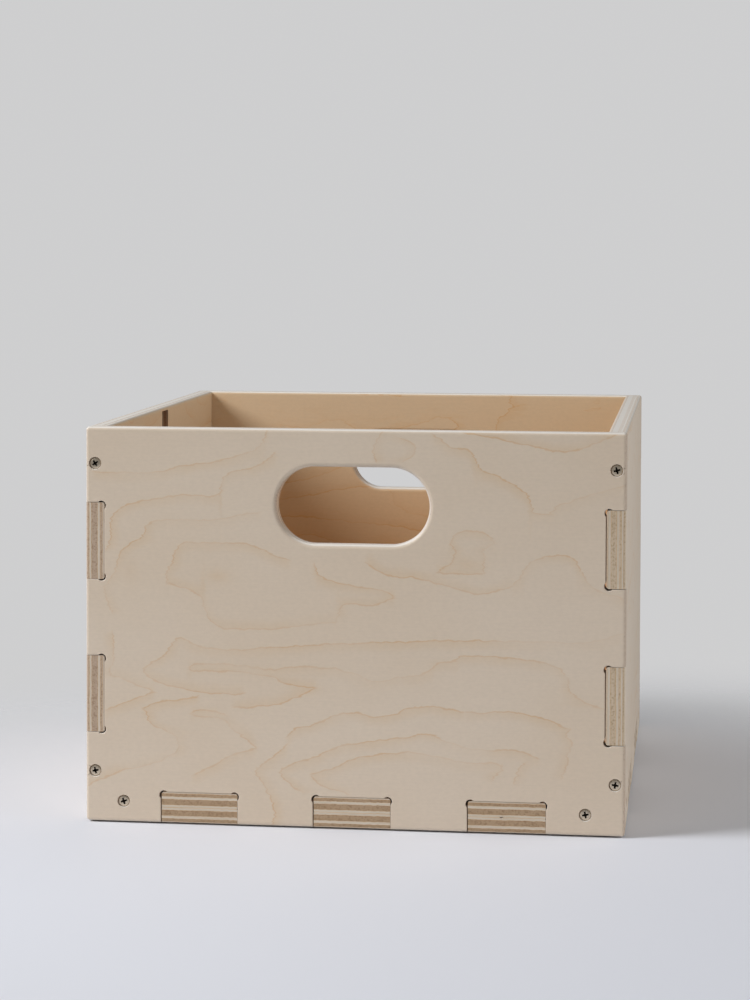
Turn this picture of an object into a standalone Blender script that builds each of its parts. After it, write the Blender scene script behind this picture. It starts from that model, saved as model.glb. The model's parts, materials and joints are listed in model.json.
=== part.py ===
"""Open plywood toy crate: five finger-jointed panels held together by countersunk screws.

Metres, +Z up. The origin is on the floor under the middle of the crate, and the front faces -Y.
Every panel is first drawn a little too large. The outside of the assembled crate then trims it,
as a router trims the real crate once it is screwed up, so tenon ends lie flush with the faces around them.
"""
import math

import bmesh
import bpy
from mathutils import Matrix, Vector

# Driving dimensions: the crate
WIDTH = 0.340  # over the two side panels
DEPTH = 0.375  # over the front and back panels
HEIGHT = 0.250
PANEL_T = 0.012  # plywood of the four walls
BASE_T = 0.0195  # plywood of the base
EDGE_ROUND = 0.002  # round-over of the outer edges and of the rim's inner edge

# Driving dimensions: finger joints
SIDE_TENON_H = 0.0485  # side panel tenons that come through the front and back
SIDE_TENON_SPACE = 0.0485
BASE_TENON_W = 0.0485  # base tenons that come through the front and back
BASE_TENON_SPACE = 0.0485
LONG_TENON_W = 0.075  # base tenons that come through the side panels
LONG_TENON_SPACE = 0.075
TENON_MARGIN = 0.012  # least distance from a screw's centre to the nearest tenon
RELIEF_R = 0.0028  # round relief that the cutter leaves in a notch's inner corner

# Driving dimensions: hand holes and divider grooves
HAND_HOLE_W = 0.096
FRONT_HOLE_H = 0.0485
FRONT_HOLE_BAR = 0.0233  # wood left between the hole and the rim
BACK_HOLE_H = 0.043  # the back hole is lower, and stays hidden behind the front panel's rim
BACK_HOLE_BAR = 0.029
HAND_HOLE_ROUND = 0.0025
GROOVE_W = 0.020
GROOVE_DEPTH = 0.005
GROOVE_STOP = 0.0025  # wood left between the groove and the rim

# Driving dimensions: screws
SCREW_HEAD_D = 0.0074
SCREW_HEAD_RIM = 0.0004  # straight rim above the head's cone
SCREW_SHANK_D = 0.0035
SCREW_L = 0.030
SCREW_TIP_L = 0.005
RECESS_SPAN = 0.0042
RECESS_ARM_W = 0.0011
RECESS_DEPTH = 0.0017
RECESS_TAPER = 0.45  # size of the recess's bottom against its mouth
UPPER_SCREW_DROP = 0.023  # below the rim, into a side panel's end
LOWER_SCREW_RISE = 0.032  # above the floor, into a side panel's end
BASE_SCREW_EDGE = 0.0123  # in from the side panel's inner face, into the base's front or back edge
BASE_SCREW_DROP = 0.0065  # below the base's top face
SIDE_SCREW_CLEAR = 0.0075  # past the tips of the front and back screws, into the base's side edge
SCREW_TURN_DEG = 37  # each cross recess is turned this much further than the one before

# Clearances
FIT_GAP = 0.0003  # between faces that meet
TENON_GAP = 0.0004  # between a tenon and its notch, on each side
SCREW_GAP = 0.0003  # round a screw in its hole
SCREW_SINK = 0.0003  # head below the face

# Drawing aids: how far raw sheets and cutters overrun the crate, and how finely arcs are drawn
OVERRUN = 0.003
CUT_OVERRUN = 0.006  # more than the sheets, so that no cutter ends in a sheet's own face
EDGE_SEGMENTS = 2
RELIEF_SEGMENTS = 8
HOLE_SEGMENTS = 14  # each round end of a hand hole
ROUND_SEGMENTS = 3  # a routed quarter round
SCREW_SIDES = 16

# Axes that an outline is drawn on: its first axis, its second axis, then the way it is extruded
UPRIGHT_X = Matrix(((1, 0, 0, 0), (0, 0, 1, 0), (0, 1, 0, 0), (0, 0, 0, 1)))  # x, z, along y
UPRIGHT_Y = Matrix(((0, 0, 1, 0), (1, 0, 0, 0), (0, 1, 0, 0), (0, 0, 0, 1)))  # y, z, along x
FLAT = Matrix.Identity(4)  # x, y, along z

BIRCH = (0.62, 0.52, 0.40)
CUT_EDGE = (0.56, 0.45, 0.33)
STEEL = (0.50, 0.49, 0.46)


# Scene and object helpers

def clear_scene():
    for obj in list(bpy.data.objects):
        bpy.data.objects.remove(obj, do_unlink=True)


def finish(name, colour, roughness, metallic):
    material = bpy.data.materials.new(name + "_finish")
    material.use_nodes = True
    shader = material.node_tree.nodes["Principled BSDF"]
    shader.inputs["Base Color"].default_value = (*colour, 1.0)
    shader.inputs["Roughness"].default_value = roughness
    shader.inputs["Metallic"].default_value = metallic
    return material


def new_mesh(name, bm):
    mesh = bpy.data.meshes.new(name)
    bm.to_mesh(mesh)
    bm.free()
    return mesh


def add_object(name, mesh, parent):
    obj = bpy.data.objects.new(name, mesh)
    obj.parent = parent
    bpy.context.collection.objects.link(obj)
    return obj


def add_panel(name, bm, origin, colour, parent):
    """A panel whose object origin is at the middle of its sheet."""
    bmesh.ops.translate(bm, verts=bm.verts, vec=-Vector(origin))
    obj = add_object(name, new_mesh(name, bm), parent)
    obj.location = origin
    obj.data.materials.append(finish(name, colour, 0.55, 0.0))
    return obj


def add_cutter(name, mesh, parent):
    obj = add_object(name, mesh, parent)
    obj.hide_render = True
    obj.display_type = "WIRE"
    return obj


def keep_inside(target, block):
    """Trims a piece to what lies inside a block."""
    modifier = target.modifiers.new("keep_inside", "BOOLEAN")
    modifier.operation = "INTERSECT"
    modifier.solver = "EXACT"
    modifier.object = block


def cut_away(target, cutters):
    """Cuts a piece once with all of its cutters together."""
    tools = bpy.data.collections.new(target.name + "_cutters")
    for cutter in cutters:
        tools.objects.link(cutter)
    modifier = target.modifiers.new("cut_away", "BOOLEAN")
    modifier.operation = "DIFFERENCE"
    modifier.solver = "EXACT"
    modifier.operand_type = "COLLECTION"
    modifier.collection = tools


# Shape helpers

def prism(outline, low, high, axes):
    """A closed prism: an outline drawn on two axes and extruded along the third."""
    bm = bmesh.new()
    face = bm.faces.new([bm.verts.new((u, v, low)) for u, v in outline])
    grown = bmesh.ops.extrude_face_region(bm, geom=[face])
    raised = [item for item in grown["geom"] if isinstance(item, bmesh.types.BMVert)]
    bmesh.ops.translate(bm, verts=raised, vec=(0, 0, high - low))
    bmesh.ops.transform(bm, matrix=axes, verts=bm.verts)
    bmesh.ops.recalc_face_normals(bm, faces=bm.faces)
    return bm


def loft(rings, axes):
    """A closed solid through rings of the same number of points. Each ring is (outline, height)."""
    bm = bmesh.new()
    loops = [[bm.verts.new((u, v, height)) for u, v in outline] for outline, height in rings]
    bm.faces.new(loops[0])
    bm.faces.new(loops[-1])
    count = len(loops[0])
    for lower, upper in zip(loops, loops[1:]):
        for i in range(count):
            j = (i + 1) % count
            bm.faces.new((lower[i], lower[j], upper[j], upper[i]))
    bmesh.ops.transform(bm, matrix=axes, verts=bm.verts)
    bmesh.ops.recalc_face_normals(bm, faces=bm.faces)
    return bm


def arc(centre, radius, start_deg, end_deg, segments):
    points = []
    for i in range(segments + 1):
        angle = math.radians(start_deg + (end_deg - start_deg) * i / segments)
        points.append((centre[0] + radius * math.cos(angle), centre[1] + radius * math.sin(angle)))
    return points


def moved(outline, quarter_turns, shift):
    """An outline turned anticlockwise by quarter turns, then shifted."""
    points = outline
    for _ in range(quarter_turns % 4):
        points = [(-v, u) for u, v in points]
    return [(u + shift[0], v + shift[1]) for u, v in points]


def tenon_spans(low, high, size, space):
    """Evenly spaced tenons, as many as fit between two screws, centred between them."""
    room = high - low - 2 * TENON_MARGIN
    count = max(1, math.floor((room + space) / (size + space)))
    first = (low + high) / 2 - (count * size + (count - 1) * space) / 2
    return [(first + i * (size + space), first + i * (size + space) + size) for i in range(count)]


def tenoned_outline(low, high, u_tenons, v_tenons, reach):
    """A rectangle between two corners, walked anticlockwise, with tenons that stand out by reach.

    The u tenons are spans along the bottom and top edges, the v tenons along the two upright edges.
    """
    (low_u, low_v), (high_u, high_v) = low, high
    steps = ((0, 0), (0, reach), (1, reach), (1, 0))  # which end of a span, and how far out
    points = [low]
    points += [(span[end], low_v - out) for span in u_tenons for end, out in steps]
    points += [(high_u, low_v)]
    points += [(high_u + out, span[end]) for span in v_tenons for end, out in steps]
    points += [high]
    points += [(span[1 - end], high_v + out) for span in reversed(u_tenons) for end, out in steps]
    points += [(low_u, high_v)]
    points += [(low_u - out, span[1 - end]) for span in reversed(v_tenons) for end, out in steps]
    return points


def notch_outline(width, depth):
    """A notch open at the bottom. A round relief runs through each inner corner."""
    half = width / 2
    inset = RELIEF_R / math.sqrt(2)
    right = arc((half - inset, depth - inset), RELIEF_R, -45, 135, RELIEF_SEGMENTS)
    left = arc((inset - half, depth - inset), RELIEF_R, 45, 225, RELIEF_SEGMENTS)
    return [(half, -CUT_OVERRUN), *right, *left, (-half, -CUT_OVERRUN)]


def stadium(straight, radius, centre):
    right = arc((centre[0] + straight / 2, centre[1]), radius, -90, 90, HOLE_SEGMENTS)
    left = arc((centre[0] - straight / 2, centre[1]), radius, 90, 270, HOLE_SEGMENTS)
    return right + left


def quarter_round(radius):
    """A routed edge as (growth of the opening, depth below the face) pairs, from the face inwards.

    The first and last chords are carried on past the arc, so that a cutter crosses the faces cleanly.
    """
    pairs = []
    for i in range(ROUND_SEGMENTS + 1):
        angle = math.radians(90) * i / ROUND_SEGMENTS
        pairs.append((radius * (1 - math.sin(angle)), radius * (1 - math.cos(angle))))
    for end, beside in ((0, 1), (-1, -2)):
        (growth, depth), (near_growth, near_depth) = pairs[end], pairs[beside]
        pairs[end] = (2 * growth - near_growth, 2 * depth - near_depth)
    return pairs


# The outside of the crate and the inside of its rim

def crate_outside():
    """The crate's outer block with its edges rounded over."""
    bm = bmesh.new()
    bmesh.ops.create_cube(bm, size=1.0)
    bmesh.ops.scale(bm, verts=bm.verts, vec=(WIDTH, DEPTH, HEIGHT))
    bmesh.ops.translate(bm, verts=bm.verts, vec=(0, 0, HEIGHT / 2))
    bmesh.ops.bevel(
        bm, geom=bm.edges, offset=EDGE_ROUND, segments=EDGE_SEGMENTS, profile=0.5, affect="EDGES"
    )
    return bm


def rectangle(half_u, half_v):
    return [(-half_u, -half_v), (half_u, -half_v), (half_u, half_v), (-half_u, half_v)]


def rim_flare():
    """Cutter that rounds the rim's inner edge all the way round."""
    half_x, half_y = WIDTH / 2 - PANEL_T, DEPTH / 2 - PANEL_T
    profile = quarter_round(EDGE_ROUND)
    above = (profile[0][0], -CUT_OVERRUN)
    below = (profile[-1][0], EDGE_ROUND + CUT_OVERRUN)
    rings = []
    for growth, depth in [below, *reversed(profile), above]:
        rings.append((rectangle(half_x + growth, half_y + growth), HEIGHT - depth))
    return loft(rings, FLAT)


# Places shared by the panels and the screws

INNER_X = WIDTH / 2 - PANEL_T
INNER_Y = DEPTH / 2 - PANEL_T
UPPER_SCREW_Z = HEIGHT - UPPER_SCREW_DROP
BASE_SCREW_X = INNER_X - BASE_SCREW_EDGE
BASE_SCREW_Z = BASE_T - BASE_SCREW_DROP
END_SCREW_X = WIDTH / 2 - PANEL_T / 2
SIDE_SCREW_Y = DEPTH / 2 - (SCREW_SINK + SCREW_L + SIDE_SCREW_CLEAR)
TENON_REACH = PANEL_T + FIT_GAP + OVERRUN  # before the crate's outside trims the tenons flush

SIDE_TENONS = tenon_spans(LOWER_SCREW_RISE, UPPER_SCREW_Z, SIDE_TENON_H, SIDE_TENON_SPACE)
BASE_TENONS = tenon_spans(-BASE_SCREW_X, BASE_SCREW_X, BASE_TENON_W, BASE_TENON_SPACE)
LONG_TENONS = tenon_spans(-SIDE_SCREW_Y, SIDE_SCREW_Y, LONG_TENON_W, LONG_TENON_SPACE)


# Panels

def wall_sheet(facing):
    """Front (facing -1) or back (facing 1) sheet before it is cut."""
    outline = [
        (-WIDTH / 2 - OVERRUN, -OVERRUN),
        (WIDTH / 2 + OVERRUN, -OVERRUN),
        (WIDTH / 2 + OVERRUN, HEIGHT + OVERRUN),
        (-WIDTH / 2 - OVERRUN, HEIGHT + OVERRUN),
    ]
    low, high = sorted((facing * INNER_Y, facing * (DEPTH / 2 + OVERRUN)))
    return prism(outline, low, high, UPRIGHT_X)


def side_sheet(facing):
    """Left (facing -1) or right (facing 1) sheet with its end tenons, before it is cut."""
    end = INNER_Y - FIT_GAP
    outline = tenoned_outline((-end, -OVERRUN), (end, HEIGHT + OVERRUN), [], SIDE_TENONS, TENON_REACH)
    low, high = sorted((facing * INNER_X, facing * (WIDTH / 2 + OVERRUN)))
    return prism(outline, low, high, UPRIGHT_Y)


def base_sheet():
    """Base sheet with tenons on all four edges."""
    end_x, end_y = INNER_X - FIT_GAP, INNER_Y - FIT_GAP
    outline = tenoned_outline((-end_x, -end_y), (end_x, end_y), BASE_TENONS, LONG_TENONS, TENON_REACH)
    return prism(outline, -OVERRUN, BASE_T, FLAT)


def wall_notches(facing):
    """Cutters for the side and base tenons in the front or back panel."""
    low, high = sorted((facing * (INNER_Y - CUT_OVERRUN), facing * (DEPTH / 2 + CUT_OVERRUN)))
    outlines = []
    for bottom, top in SIDE_TENONS:
        notch = notch_outline(top - bottom + 2 * TENON_GAP, PANEL_T + TENON_GAP)
        middle = (bottom + top) / 2
        outlines.append(moved(notch, 1, (WIDTH / 2, middle)))
        outlines.append(moved(notch, 3, (-WIDTH / 2, middle)))
    for left, right in BASE_TENONS:
        notch = notch_outline(right - left + 2 * TENON_GAP, BASE_T + TENON_GAP)
        outlines.append(moved(notch, 0, ((left + right) / 2, 0)))
    return [prism(outline, low, high, UPRIGHT_X) for outline in outlines]


def side_notches(facing):
    """Cutters for the base tenons in a side panel."""
    low, high = sorted((facing * (INNER_X - CUT_OVERRUN), facing * (WIDTH / 2 + CUT_OVERRUN)))
    cutters = []
    for near, far in LONG_TENONS:
        notch = notch_outline(far - near + 2 * TENON_GAP, BASE_T + TENON_GAP)
        cutters.append(prism(moved(notch, 0, ((near + far) / 2, 0)), low, high, UPRIGHT_Y))
    return cutters


def hand_hole(facing):
    """Cutter for the front or back hand hole, whose edges are rounded over on both faces."""
    height, bar = (FRONT_HOLE_H, FRONT_HOLE_BAR) if facing < 0 else (BACK_HOLE_H, BACK_HOLE_BAR)
    radius = height / 2
    centre = (0, HEIGHT - bar - radius)
    profile = quarter_round(HAND_HOLE_ROUND)
    lip = (profile[0][0], -CUT_OVERRUN)
    wall = (0, HAND_HOLE_ROUND)
    edge = [lip, *profile[:-1], wall]
    inside = [(growth, INNER_Y + depth) for growth, depth in edge]
    outside = [(growth, DEPTH / 2 - depth) for growth, depth in reversed(edge)]
    rings = []
    for growth, reach in inside + outside:
        outline = stadium(HAND_HOLE_W - height, radius + growth, centre)
        rings.append((outline, facing * reach))
    return loft(rings, UPRIGHT_X)


def divider_groove(facing):
    """Cutter for the upright groove in a side panel's inner face, from the base up to just under the rim."""
    half = GROOVE_W / 2
    top = HEIGHT - GROOVE_STOP
    outline = [(-half, BASE_T), (half, BASE_T), (half, top), (-half, top)]
    low, high = sorted((facing * (INNER_X - CUT_OVERRUN), facing * (INNER_X + GROOVE_DEPTH)))
    return prism(outline, low, high, UPRIGHT_Y)


# Screws

def lathe(profile):
    """A closed solid turned from (radius, height) points that start and end on the axis."""
    bm = bmesh.new()
    verts = [bm.verts.new((radius, 0, height)) for radius, height in profile]
    edges = [bm.edges.new(pair) for pair in zip(verts, verts[1:])]
    bmesh.ops.spin(
        bm, geom=verts + edges, axis=(0, 0, 1), angle=math.tau, steps=SCREW_SIDES, use_merge=True
    )
    bmesh.ops.remove_doubles(bm, verts=bm.verts, dist=1e-7)
    bmesh.ops.recalc_face_normals(bm, faces=bm.faces)
    return bm


def screw_profile(gap, top):
    """Half section of a screw, or of its hole when it is grown by a gap, with its top at a given height."""
    head, shank = SCREW_HEAD_D / 2 + gap, SCREW_SHANK_D / 2 + gap
    neck = -SCREW_HEAD_RIM - (SCREW_HEAD_D - SCREW_SHANK_D) / 2
    return [
        (0, top),
        (head, top),
        (head, -SCREW_HEAD_RIM),
        (shank, neck),
        (shank, SCREW_TIP_L - SCREW_L),
        (0, -SCREW_L - gap),
    ]


def recess_arm(long_x):
    """One arm of the cross recess, narrower at its bottom."""
    span, width = RECESS_SPAN / 2, RECESS_ARM_W / 2
    half_u, half_v = (span, width) if long_x else (width, span)
    bottom = rectangle(half_u * RECESS_TAPER, half_v * RECESS_TAPER)
    lift = CUT_OVERRUN / RECESS_DEPTH * (1 - RECESS_TAPER)
    above = rectangle(half_u * (1 + lift), half_v * (1 + lift))
    return loft([(bottom, -RECESS_DEPTH), (above, CUT_OVERRUN)], FLAT)


def screw_mesh(parent):
    """The mesh that every screw shares: a turned body with a cross recess cut into its head."""
    blank = add_object("screw_blank", new_mesh("screw_blank", lathe(screw_profile(0, 0))), parent)
    arms = []
    for long_x in (True, False):
        arms.append(add_cutter("recess_arm", new_mesh("recess_arm", recess_arm(long_x)), parent))
    cut_away(blank, arms)
    cut = blank.evaluated_get(bpy.context.evaluated_depsgraph_get())
    mesh = bpy.data.meshes.new_from_object(cut)
    mesh.name = "screw"
    for helper in (blank, *arms):
        bpy.data.objects.remove(helper, do_unlink=True)
    mesh.shade_smooth()
    mesh.set_sharp_from_angle(angle=math.radians(30))
    return mesh


def screw_places():
    """Each screw as (name, panel it passes, point on the outer face, outward direction, panel it enters)."""
    places = []
    for wall, facing in (("front", -1), ("back", 1)):
        outward = Vector((0, facing, 0))
        for side, way in (("left", -1), ("right", 1)):
            rows = (
                ("upper", END_SCREW_X, UPPER_SCREW_Z, side + "_side_panel"),
                ("lower", END_SCREW_X, LOWER_SCREW_RISE, side + "_side_panel"),
                ("base", BASE_SCREW_X, BASE_SCREW_Z, "base_panel"),
            )
            for row, x, z, entered in rows:
                point = Vector((way * x, facing * DEPTH / 2, z))
                places.append((f"screw_{wall}_{row}_{side}", wall + "_panel", point, outward, entered))
    for side, way in (("left", -1), ("right", 1)):
        for end, facing in (("front", -1), ("back", 1)):
            point = Vector((way * WIDTH / 2, facing * SIDE_SCREW_Y, BASE_SCREW_Z))
            name = f"screw_{side}_base_{end}"
            places.append((name, side + "_side_panel", point, Vector((way, 0, 0)), "base_panel"))
    return places


def add_screws(cutters, parent):
    """Puts each screw in its place, and its hole among the cutters of the panels it passes and enters."""
    mesh = screw_mesh(parent)
    hole = new_mesh("screw_hole", lathe(screw_profile(SCREW_GAP, CUT_OVERRUN)))
    for i, (name, passed, point, outward, entered) in enumerate(screw_places()):
        facing = outward.to_track_quat("Z", "Y").to_matrix().to_4x4()
        turn = Matrix.Rotation(math.radians(i * SCREW_TURN_DEG), 4, "Z")
        seat = Matrix.Translation(point - outward * SCREW_SINK) @ facing @ turn
        screw = add_object(name, mesh.copy(), parent)
        screw.matrix_local = seat
        screw.data.materials.append(finish(name, STEEL, 0.35, 1.0))
        cutter = add_cutter(name + "_hole", hole, parent)
        cutter.matrix_local = seat
        cutters[passed].append(cutter)
        cutters[entered].append(cutter)


def build():
    clear_scene()
    crate = bpy.data.objects.new("toy_crate", None)
    bpy.context.collection.objects.link(crate)
    outside = add_cutter("crate_outside", new_mesh("crate_outside", crate_outside()), crate)
    flare = add_cutter("rim_flare", new_mesh("rim_flare", rim_flare()), crate)

    panels = {}
    shapes = {}
    for name, facing in (("front_panel", -1), ("back_panel", 1)):
        middle = (0, facing * (INNER_Y + PANEL_T / 2), HEIGHT / 2)
        panels[name] = add_panel(name, wall_sheet(facing), middle, BIRCH, crate)
        shapes[name] = [*wall_notches(facing), hand_hole(facing)]
    for name, facing in (("left_side_panel", -1), ("right_side_panel", 1)):
        middle = (facing * (INNER_X + PANEL_T / 2), 0, HEIGHT / 2)
        panels[name] = add_panel(name, side_sheet(facing), middle, BIRCH, crate)
        shapes[name] = [*side_notches(facing), divider_groove(facing)]

    cutters = {"base_panel": []}
    for name, bms in shapes.items():
        cutters[name] = [add_cutter(name + "_cut", new_mesh("cut", bm), crate) for bm in bms] + [flare]
    panels["base_panel"] = add_panel("base_panel", base_sheet(), (0, 0, BASE_T / 2), CUT_EDGE, crate)
    add_screws(cutters, crate)
    for name, panel in panels.items():
        keep_inside(panel, outside)
        cut_away(panel, cutters[name])


build()
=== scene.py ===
# %% [markdown]
# # An open plywood toy crate
# The crate is five plywood boards with finger joints, held together by sixteen wood screws. Its shape
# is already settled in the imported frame, at real size and in metres, so this lesson makes the finer
# surfaces: routed edges, tight and loose joints, turned screws, and above all plywood that shows its
# layers wherever it is cut.

# %% Load the frame
import json
import math

import bmesh
import bpy
from mathutils import Matrix, Vector

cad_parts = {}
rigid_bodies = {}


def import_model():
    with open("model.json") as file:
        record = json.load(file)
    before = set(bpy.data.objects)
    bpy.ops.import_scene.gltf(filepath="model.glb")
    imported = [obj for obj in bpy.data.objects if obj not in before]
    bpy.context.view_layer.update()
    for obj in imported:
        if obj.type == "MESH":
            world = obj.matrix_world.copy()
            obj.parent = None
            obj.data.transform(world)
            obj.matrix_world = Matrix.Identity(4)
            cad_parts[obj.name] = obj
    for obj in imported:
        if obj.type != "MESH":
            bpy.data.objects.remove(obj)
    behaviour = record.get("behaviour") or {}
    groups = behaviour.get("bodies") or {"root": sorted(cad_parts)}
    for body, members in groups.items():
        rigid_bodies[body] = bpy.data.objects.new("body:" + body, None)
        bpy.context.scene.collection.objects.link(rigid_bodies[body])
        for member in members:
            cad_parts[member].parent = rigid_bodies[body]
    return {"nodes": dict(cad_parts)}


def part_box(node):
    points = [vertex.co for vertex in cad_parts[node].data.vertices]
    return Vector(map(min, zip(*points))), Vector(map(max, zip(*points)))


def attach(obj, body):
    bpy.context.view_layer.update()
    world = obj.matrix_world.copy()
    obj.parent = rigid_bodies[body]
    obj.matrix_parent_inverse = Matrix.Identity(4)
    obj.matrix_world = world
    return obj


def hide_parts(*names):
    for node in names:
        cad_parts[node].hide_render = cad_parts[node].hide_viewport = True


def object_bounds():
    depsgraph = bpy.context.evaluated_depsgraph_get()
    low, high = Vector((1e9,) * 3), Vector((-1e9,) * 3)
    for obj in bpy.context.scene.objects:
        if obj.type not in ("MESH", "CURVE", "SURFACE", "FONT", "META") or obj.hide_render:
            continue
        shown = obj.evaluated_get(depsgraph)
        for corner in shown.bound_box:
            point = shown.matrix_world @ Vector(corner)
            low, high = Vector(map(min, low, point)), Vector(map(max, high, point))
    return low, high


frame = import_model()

CAD_LOW, CAD_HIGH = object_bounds()
print("frame:", len(frame["nodes"]), "nodes in a box of", [round(v, 4) for v in CAD_HIGH - CAD_LOW])

# %% [markdown]
# The boards' sizes come from the frame's own boxes, so nothing here has to be fitted by eye. Only the
# places of the tenons are written again, because a box can't tell them. The front of the crate faces
# -Y.

# %% Sizes of the crate
MM = 0.001
WIDTH, DEPTH, HEIGHT = CAD_HIGH - CAD_LOW
WALL_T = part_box("front_panel")[1].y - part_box("front_panel")[0].y
BASE_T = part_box("base_panel")[1].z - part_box("base_panel")[0].z
INNER_X = WIDTH / 2 - WALL_T
INNER_Y = DEPTH / 2 - WALL_T
TENON = 48.5 * MM  # along the joint, for the side boards' tenons and the base's front and back tenons
LONG_TENON = 75 * MM  # the base's tenons that come through the side boards
SIDE_TENON_Z = (81 * MM, 178 * MM)
BASE_TENON_X = (-97 * MM, 0.0, 97 * MM)
LONG_TENON_Y = (-75 * MM, 75 * MM)
print("walls", round(WALL_T / MM, 2), "mm, base", round(BASE_T / MM, 2), "mm")

# %% [markdown]
# The camera comes first, because every later choice is judged through it. It stands a little right of
# the crate and a little above its rim. Upright edges look parallel, which a photographer gets with a
# lens shift, so most of the framing comes from a shift and only a little from a downward tilt.

# %% Camera
CAMERA_PLACE = (0.2164, -1.797, 0.3759)
CAMERA_YAW, CAMERA_TILT, CAMERA_ROLL = (math.radians(angle) for angle in (7.176, -2.02, 0.156))
LENS_MM, SENSOR_MM, LENS_SHIFT = 94.1, 36.0, -0.18

lens = bpy.data.cameras.new("camera")
lens.lens = LENS_MM
lens.sensor_width = SENSOR_MM
lens.shift_y = LENS_SHIFT
camera = bpy.data.objects.new("camera", lens)
camera.matrix_world = (
    Matrix.Translation(CAMERA_PLACE)
    @ Matrix.Rotation(CAMERA_YAW, 4, "Z")
    @ Matrix.Rotation(math.radians(90) + CAMERA_TILT, 4, "X")
    @ Matrix.Rotation(CAMERA_ROLL, 4, "Z")
)
bpy.context.scene.collection.objects.link(camera)
bpy.context.scene.camera = camera
print("camera at", CAMERA_PLACE)

# %% [markdown]
# The stage is a plain pale floor in a quiet room. A square panel on the left acts as a window, and a
# weaker one on the right is the glow of a pale wall. The world stands for the rest of the room. It is
# dim, and dimmer overhead, so the window throws real shadows and the inside of the crate stays brown.
# The floor fades out away from the crate, so no horizon line cuts the picture. The crate's underside
# isn't perfectly flat, so the floor lies a hair below it, and a thin dark line shows along the bottom
# edge.

# %% Floor and light
FLOOR_RADIUS, FLOOR_SEGMENTS = 9.0, 96
FLOOR_MIDDLE = (0.1, -0.25, 0.0)
FLOOR_FADE = (0.28, 0.78)  # distances from its middle between which the floor fades
FLOOR_DROP = 0.9 * MM
FLOOR_COLOUR = (0.785, 0.795, 0.835, 1)
FLOOR_ROUGHNESS, FLOOR_GLOSS = 0.6, 0.1
BACKGROUND = (0.62, 0.62, 0.625, 1)
WALL_LIGHT, CEILING_LIGHT = 0.31, 0.15
# Direction from the crate, distance, size, power and colour.
WINDOW = ((-0.73, -0.32, 0.605), 2.4, 0.9, 48.0, (0.985, 1.0, 1.04))
WALL_GLOW = ((0.85, -0.1, 0.35), 1.8, 1.6, 12.5, (0.985, 1.0, 1.03))


def object_from(name, bm):
    """A new object that holds a bmesh, which is used up."""
    mesh = bpy.data.meshes.new(name)
    bm.to_mesh(mesh)
    bm.free()
    made = bpy.data.objects.new(name, mesh)
    bpy.context.scene.collection.objects.link(made)
    return made


def new_material(name):
    """A material, its node tree and its main shader."""
    material = bpy.data.materials.new(name)
    material.use_nodes = True
    return material, material.node_tree, material.node_tree.nodes["Principled BSDF"]


def floor_paint():
    """Matt paint that turns clear far from the crate."""
    material, tree, paint = new_material("floor_paint")
    paint.inputs["Base Color"].default_value = FLOOR_COLOUR
    paint.inputs["Roughness"].default_value = FLOOR_ROUGHNESS
    paint.inputs["Specular IOR Level"].default_value = FLOOR_GLOSS
    reach = tree.nodes.new("ShaderNodeVectorMath")
    reach.operation = "DISTANCE"
    reach.inputs[1].default_value = FLOOR_MIDDLE
    tree.links.new(tree.nodes.new("ShaderNodeTexCoord").outputs["Object"], reach.inputs[0])
    fade = tree.nodes.new("ShaderNodeMapRange")
    fade.interpolation_type = "SMOOTHSTEP"
    fade.inputs["From Min"].default_value, fade.inputs["From Max"].default_value = FLOOR_FADE
    tree.links.new(reach.outputs["Value"], fade.inputs["Value"])
    choose = tree.nodes.new("ShaderNodeMixShader")
    tree.links.new(fade.outputs[0], choose.inputs["Fac"])
    tree.links.new(paint.outputs[0], choose.inputs[1])
    tree.links.new(tree.nodes.new("ShaderNodeBsdfTransparent").outputs[0], choose.inputs[2])
    tree.links.new(choose.outputs[0], tree.nodes["Material Output"].inputs["Surface"])
    return material


bm = bmesh.new()
below = Matrix.Translation((0, 0, -FLOOR_DROP))
bmesh.ops.create_circle(bm, cap_ends=True, segments=FLOOR_SEGMENTS, radius=FLOOR_RADIUS, matrix=below)
floor = object_from("floor", bm)
floor.data.materials.append(floor_paint())


def add_panel(name, towards, distance, size, power, colour):
    """A square of light that faces the crate."""
    lamp = bpy.data.lights.new(name, "AREA")
    lamp.size = size
    lamp.energy = power
    lamp.color = colour
    panel = bpy.data.objects.new(name, lamp)
    panel.location = Vector(towards).normalized() * distance
    panel.rotation_euler = (-Vector(towards)).to_track_quat("-Z", "Y").to_euler()
    panel.visible_camera = False
    bpy.context.scene.collection.objects.link(panel)


add_panel("window", *WINDOW)
add_panel("wall_glow", *WALL_GLOW)

world = bpy.data.worlds.new("studio")
world.use_nodes = True
bpy.context.scene.world = world
sky = world.node_tree
light = sky.nodes["Background"]
light.inputs["Color"].default_value = (1, 1, 1, 1)
way = sky.nodes.new("ShaderNodeSeparateXYZ")
sky.links.new(sky.nodes.new("ShaderNodeTexCoord").outputs["Generated"], way.inputs[0])
dimming = sky.nodes.new("ShaderNodeMapRange")
dimming.inputs["To Min"].default_value = WALL_LIGHT
dimming.inputs["To Max"].default_value = CEILING_LIGHT
sky.links.new(way.outputs["Z"], dimming.inputs["Value"])
sky.links.new(dimming.outputs[0], light.inputs["Strength"])
seen = sky.nodes.new("ShaderNodeBackground")
seen.inputs["Color"].default_value = BACKGROUND
path = sky.nodes.new("ShaderNodeLightPath")
choose = sky.nodes.new("ShaderNodeMixShader")
sky.links.new(path.outputs["Is Camera Ray"], choose.inputs["Fac"])
sky.links.new(light.outputs[0], choose.inputs[1])
sky.links.new(seen.outputs[0], choose.inputs[2])
sky.links.new(choose.outputs[0], sky.nodes["World Output"].inputs["Surface"])
bpy.context.scene.view_settings.view_transform = "Standard"
print("stage: floor", FLOOR_RADIUS, "m in radius, window of", WINDOW[3], "W")

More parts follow.
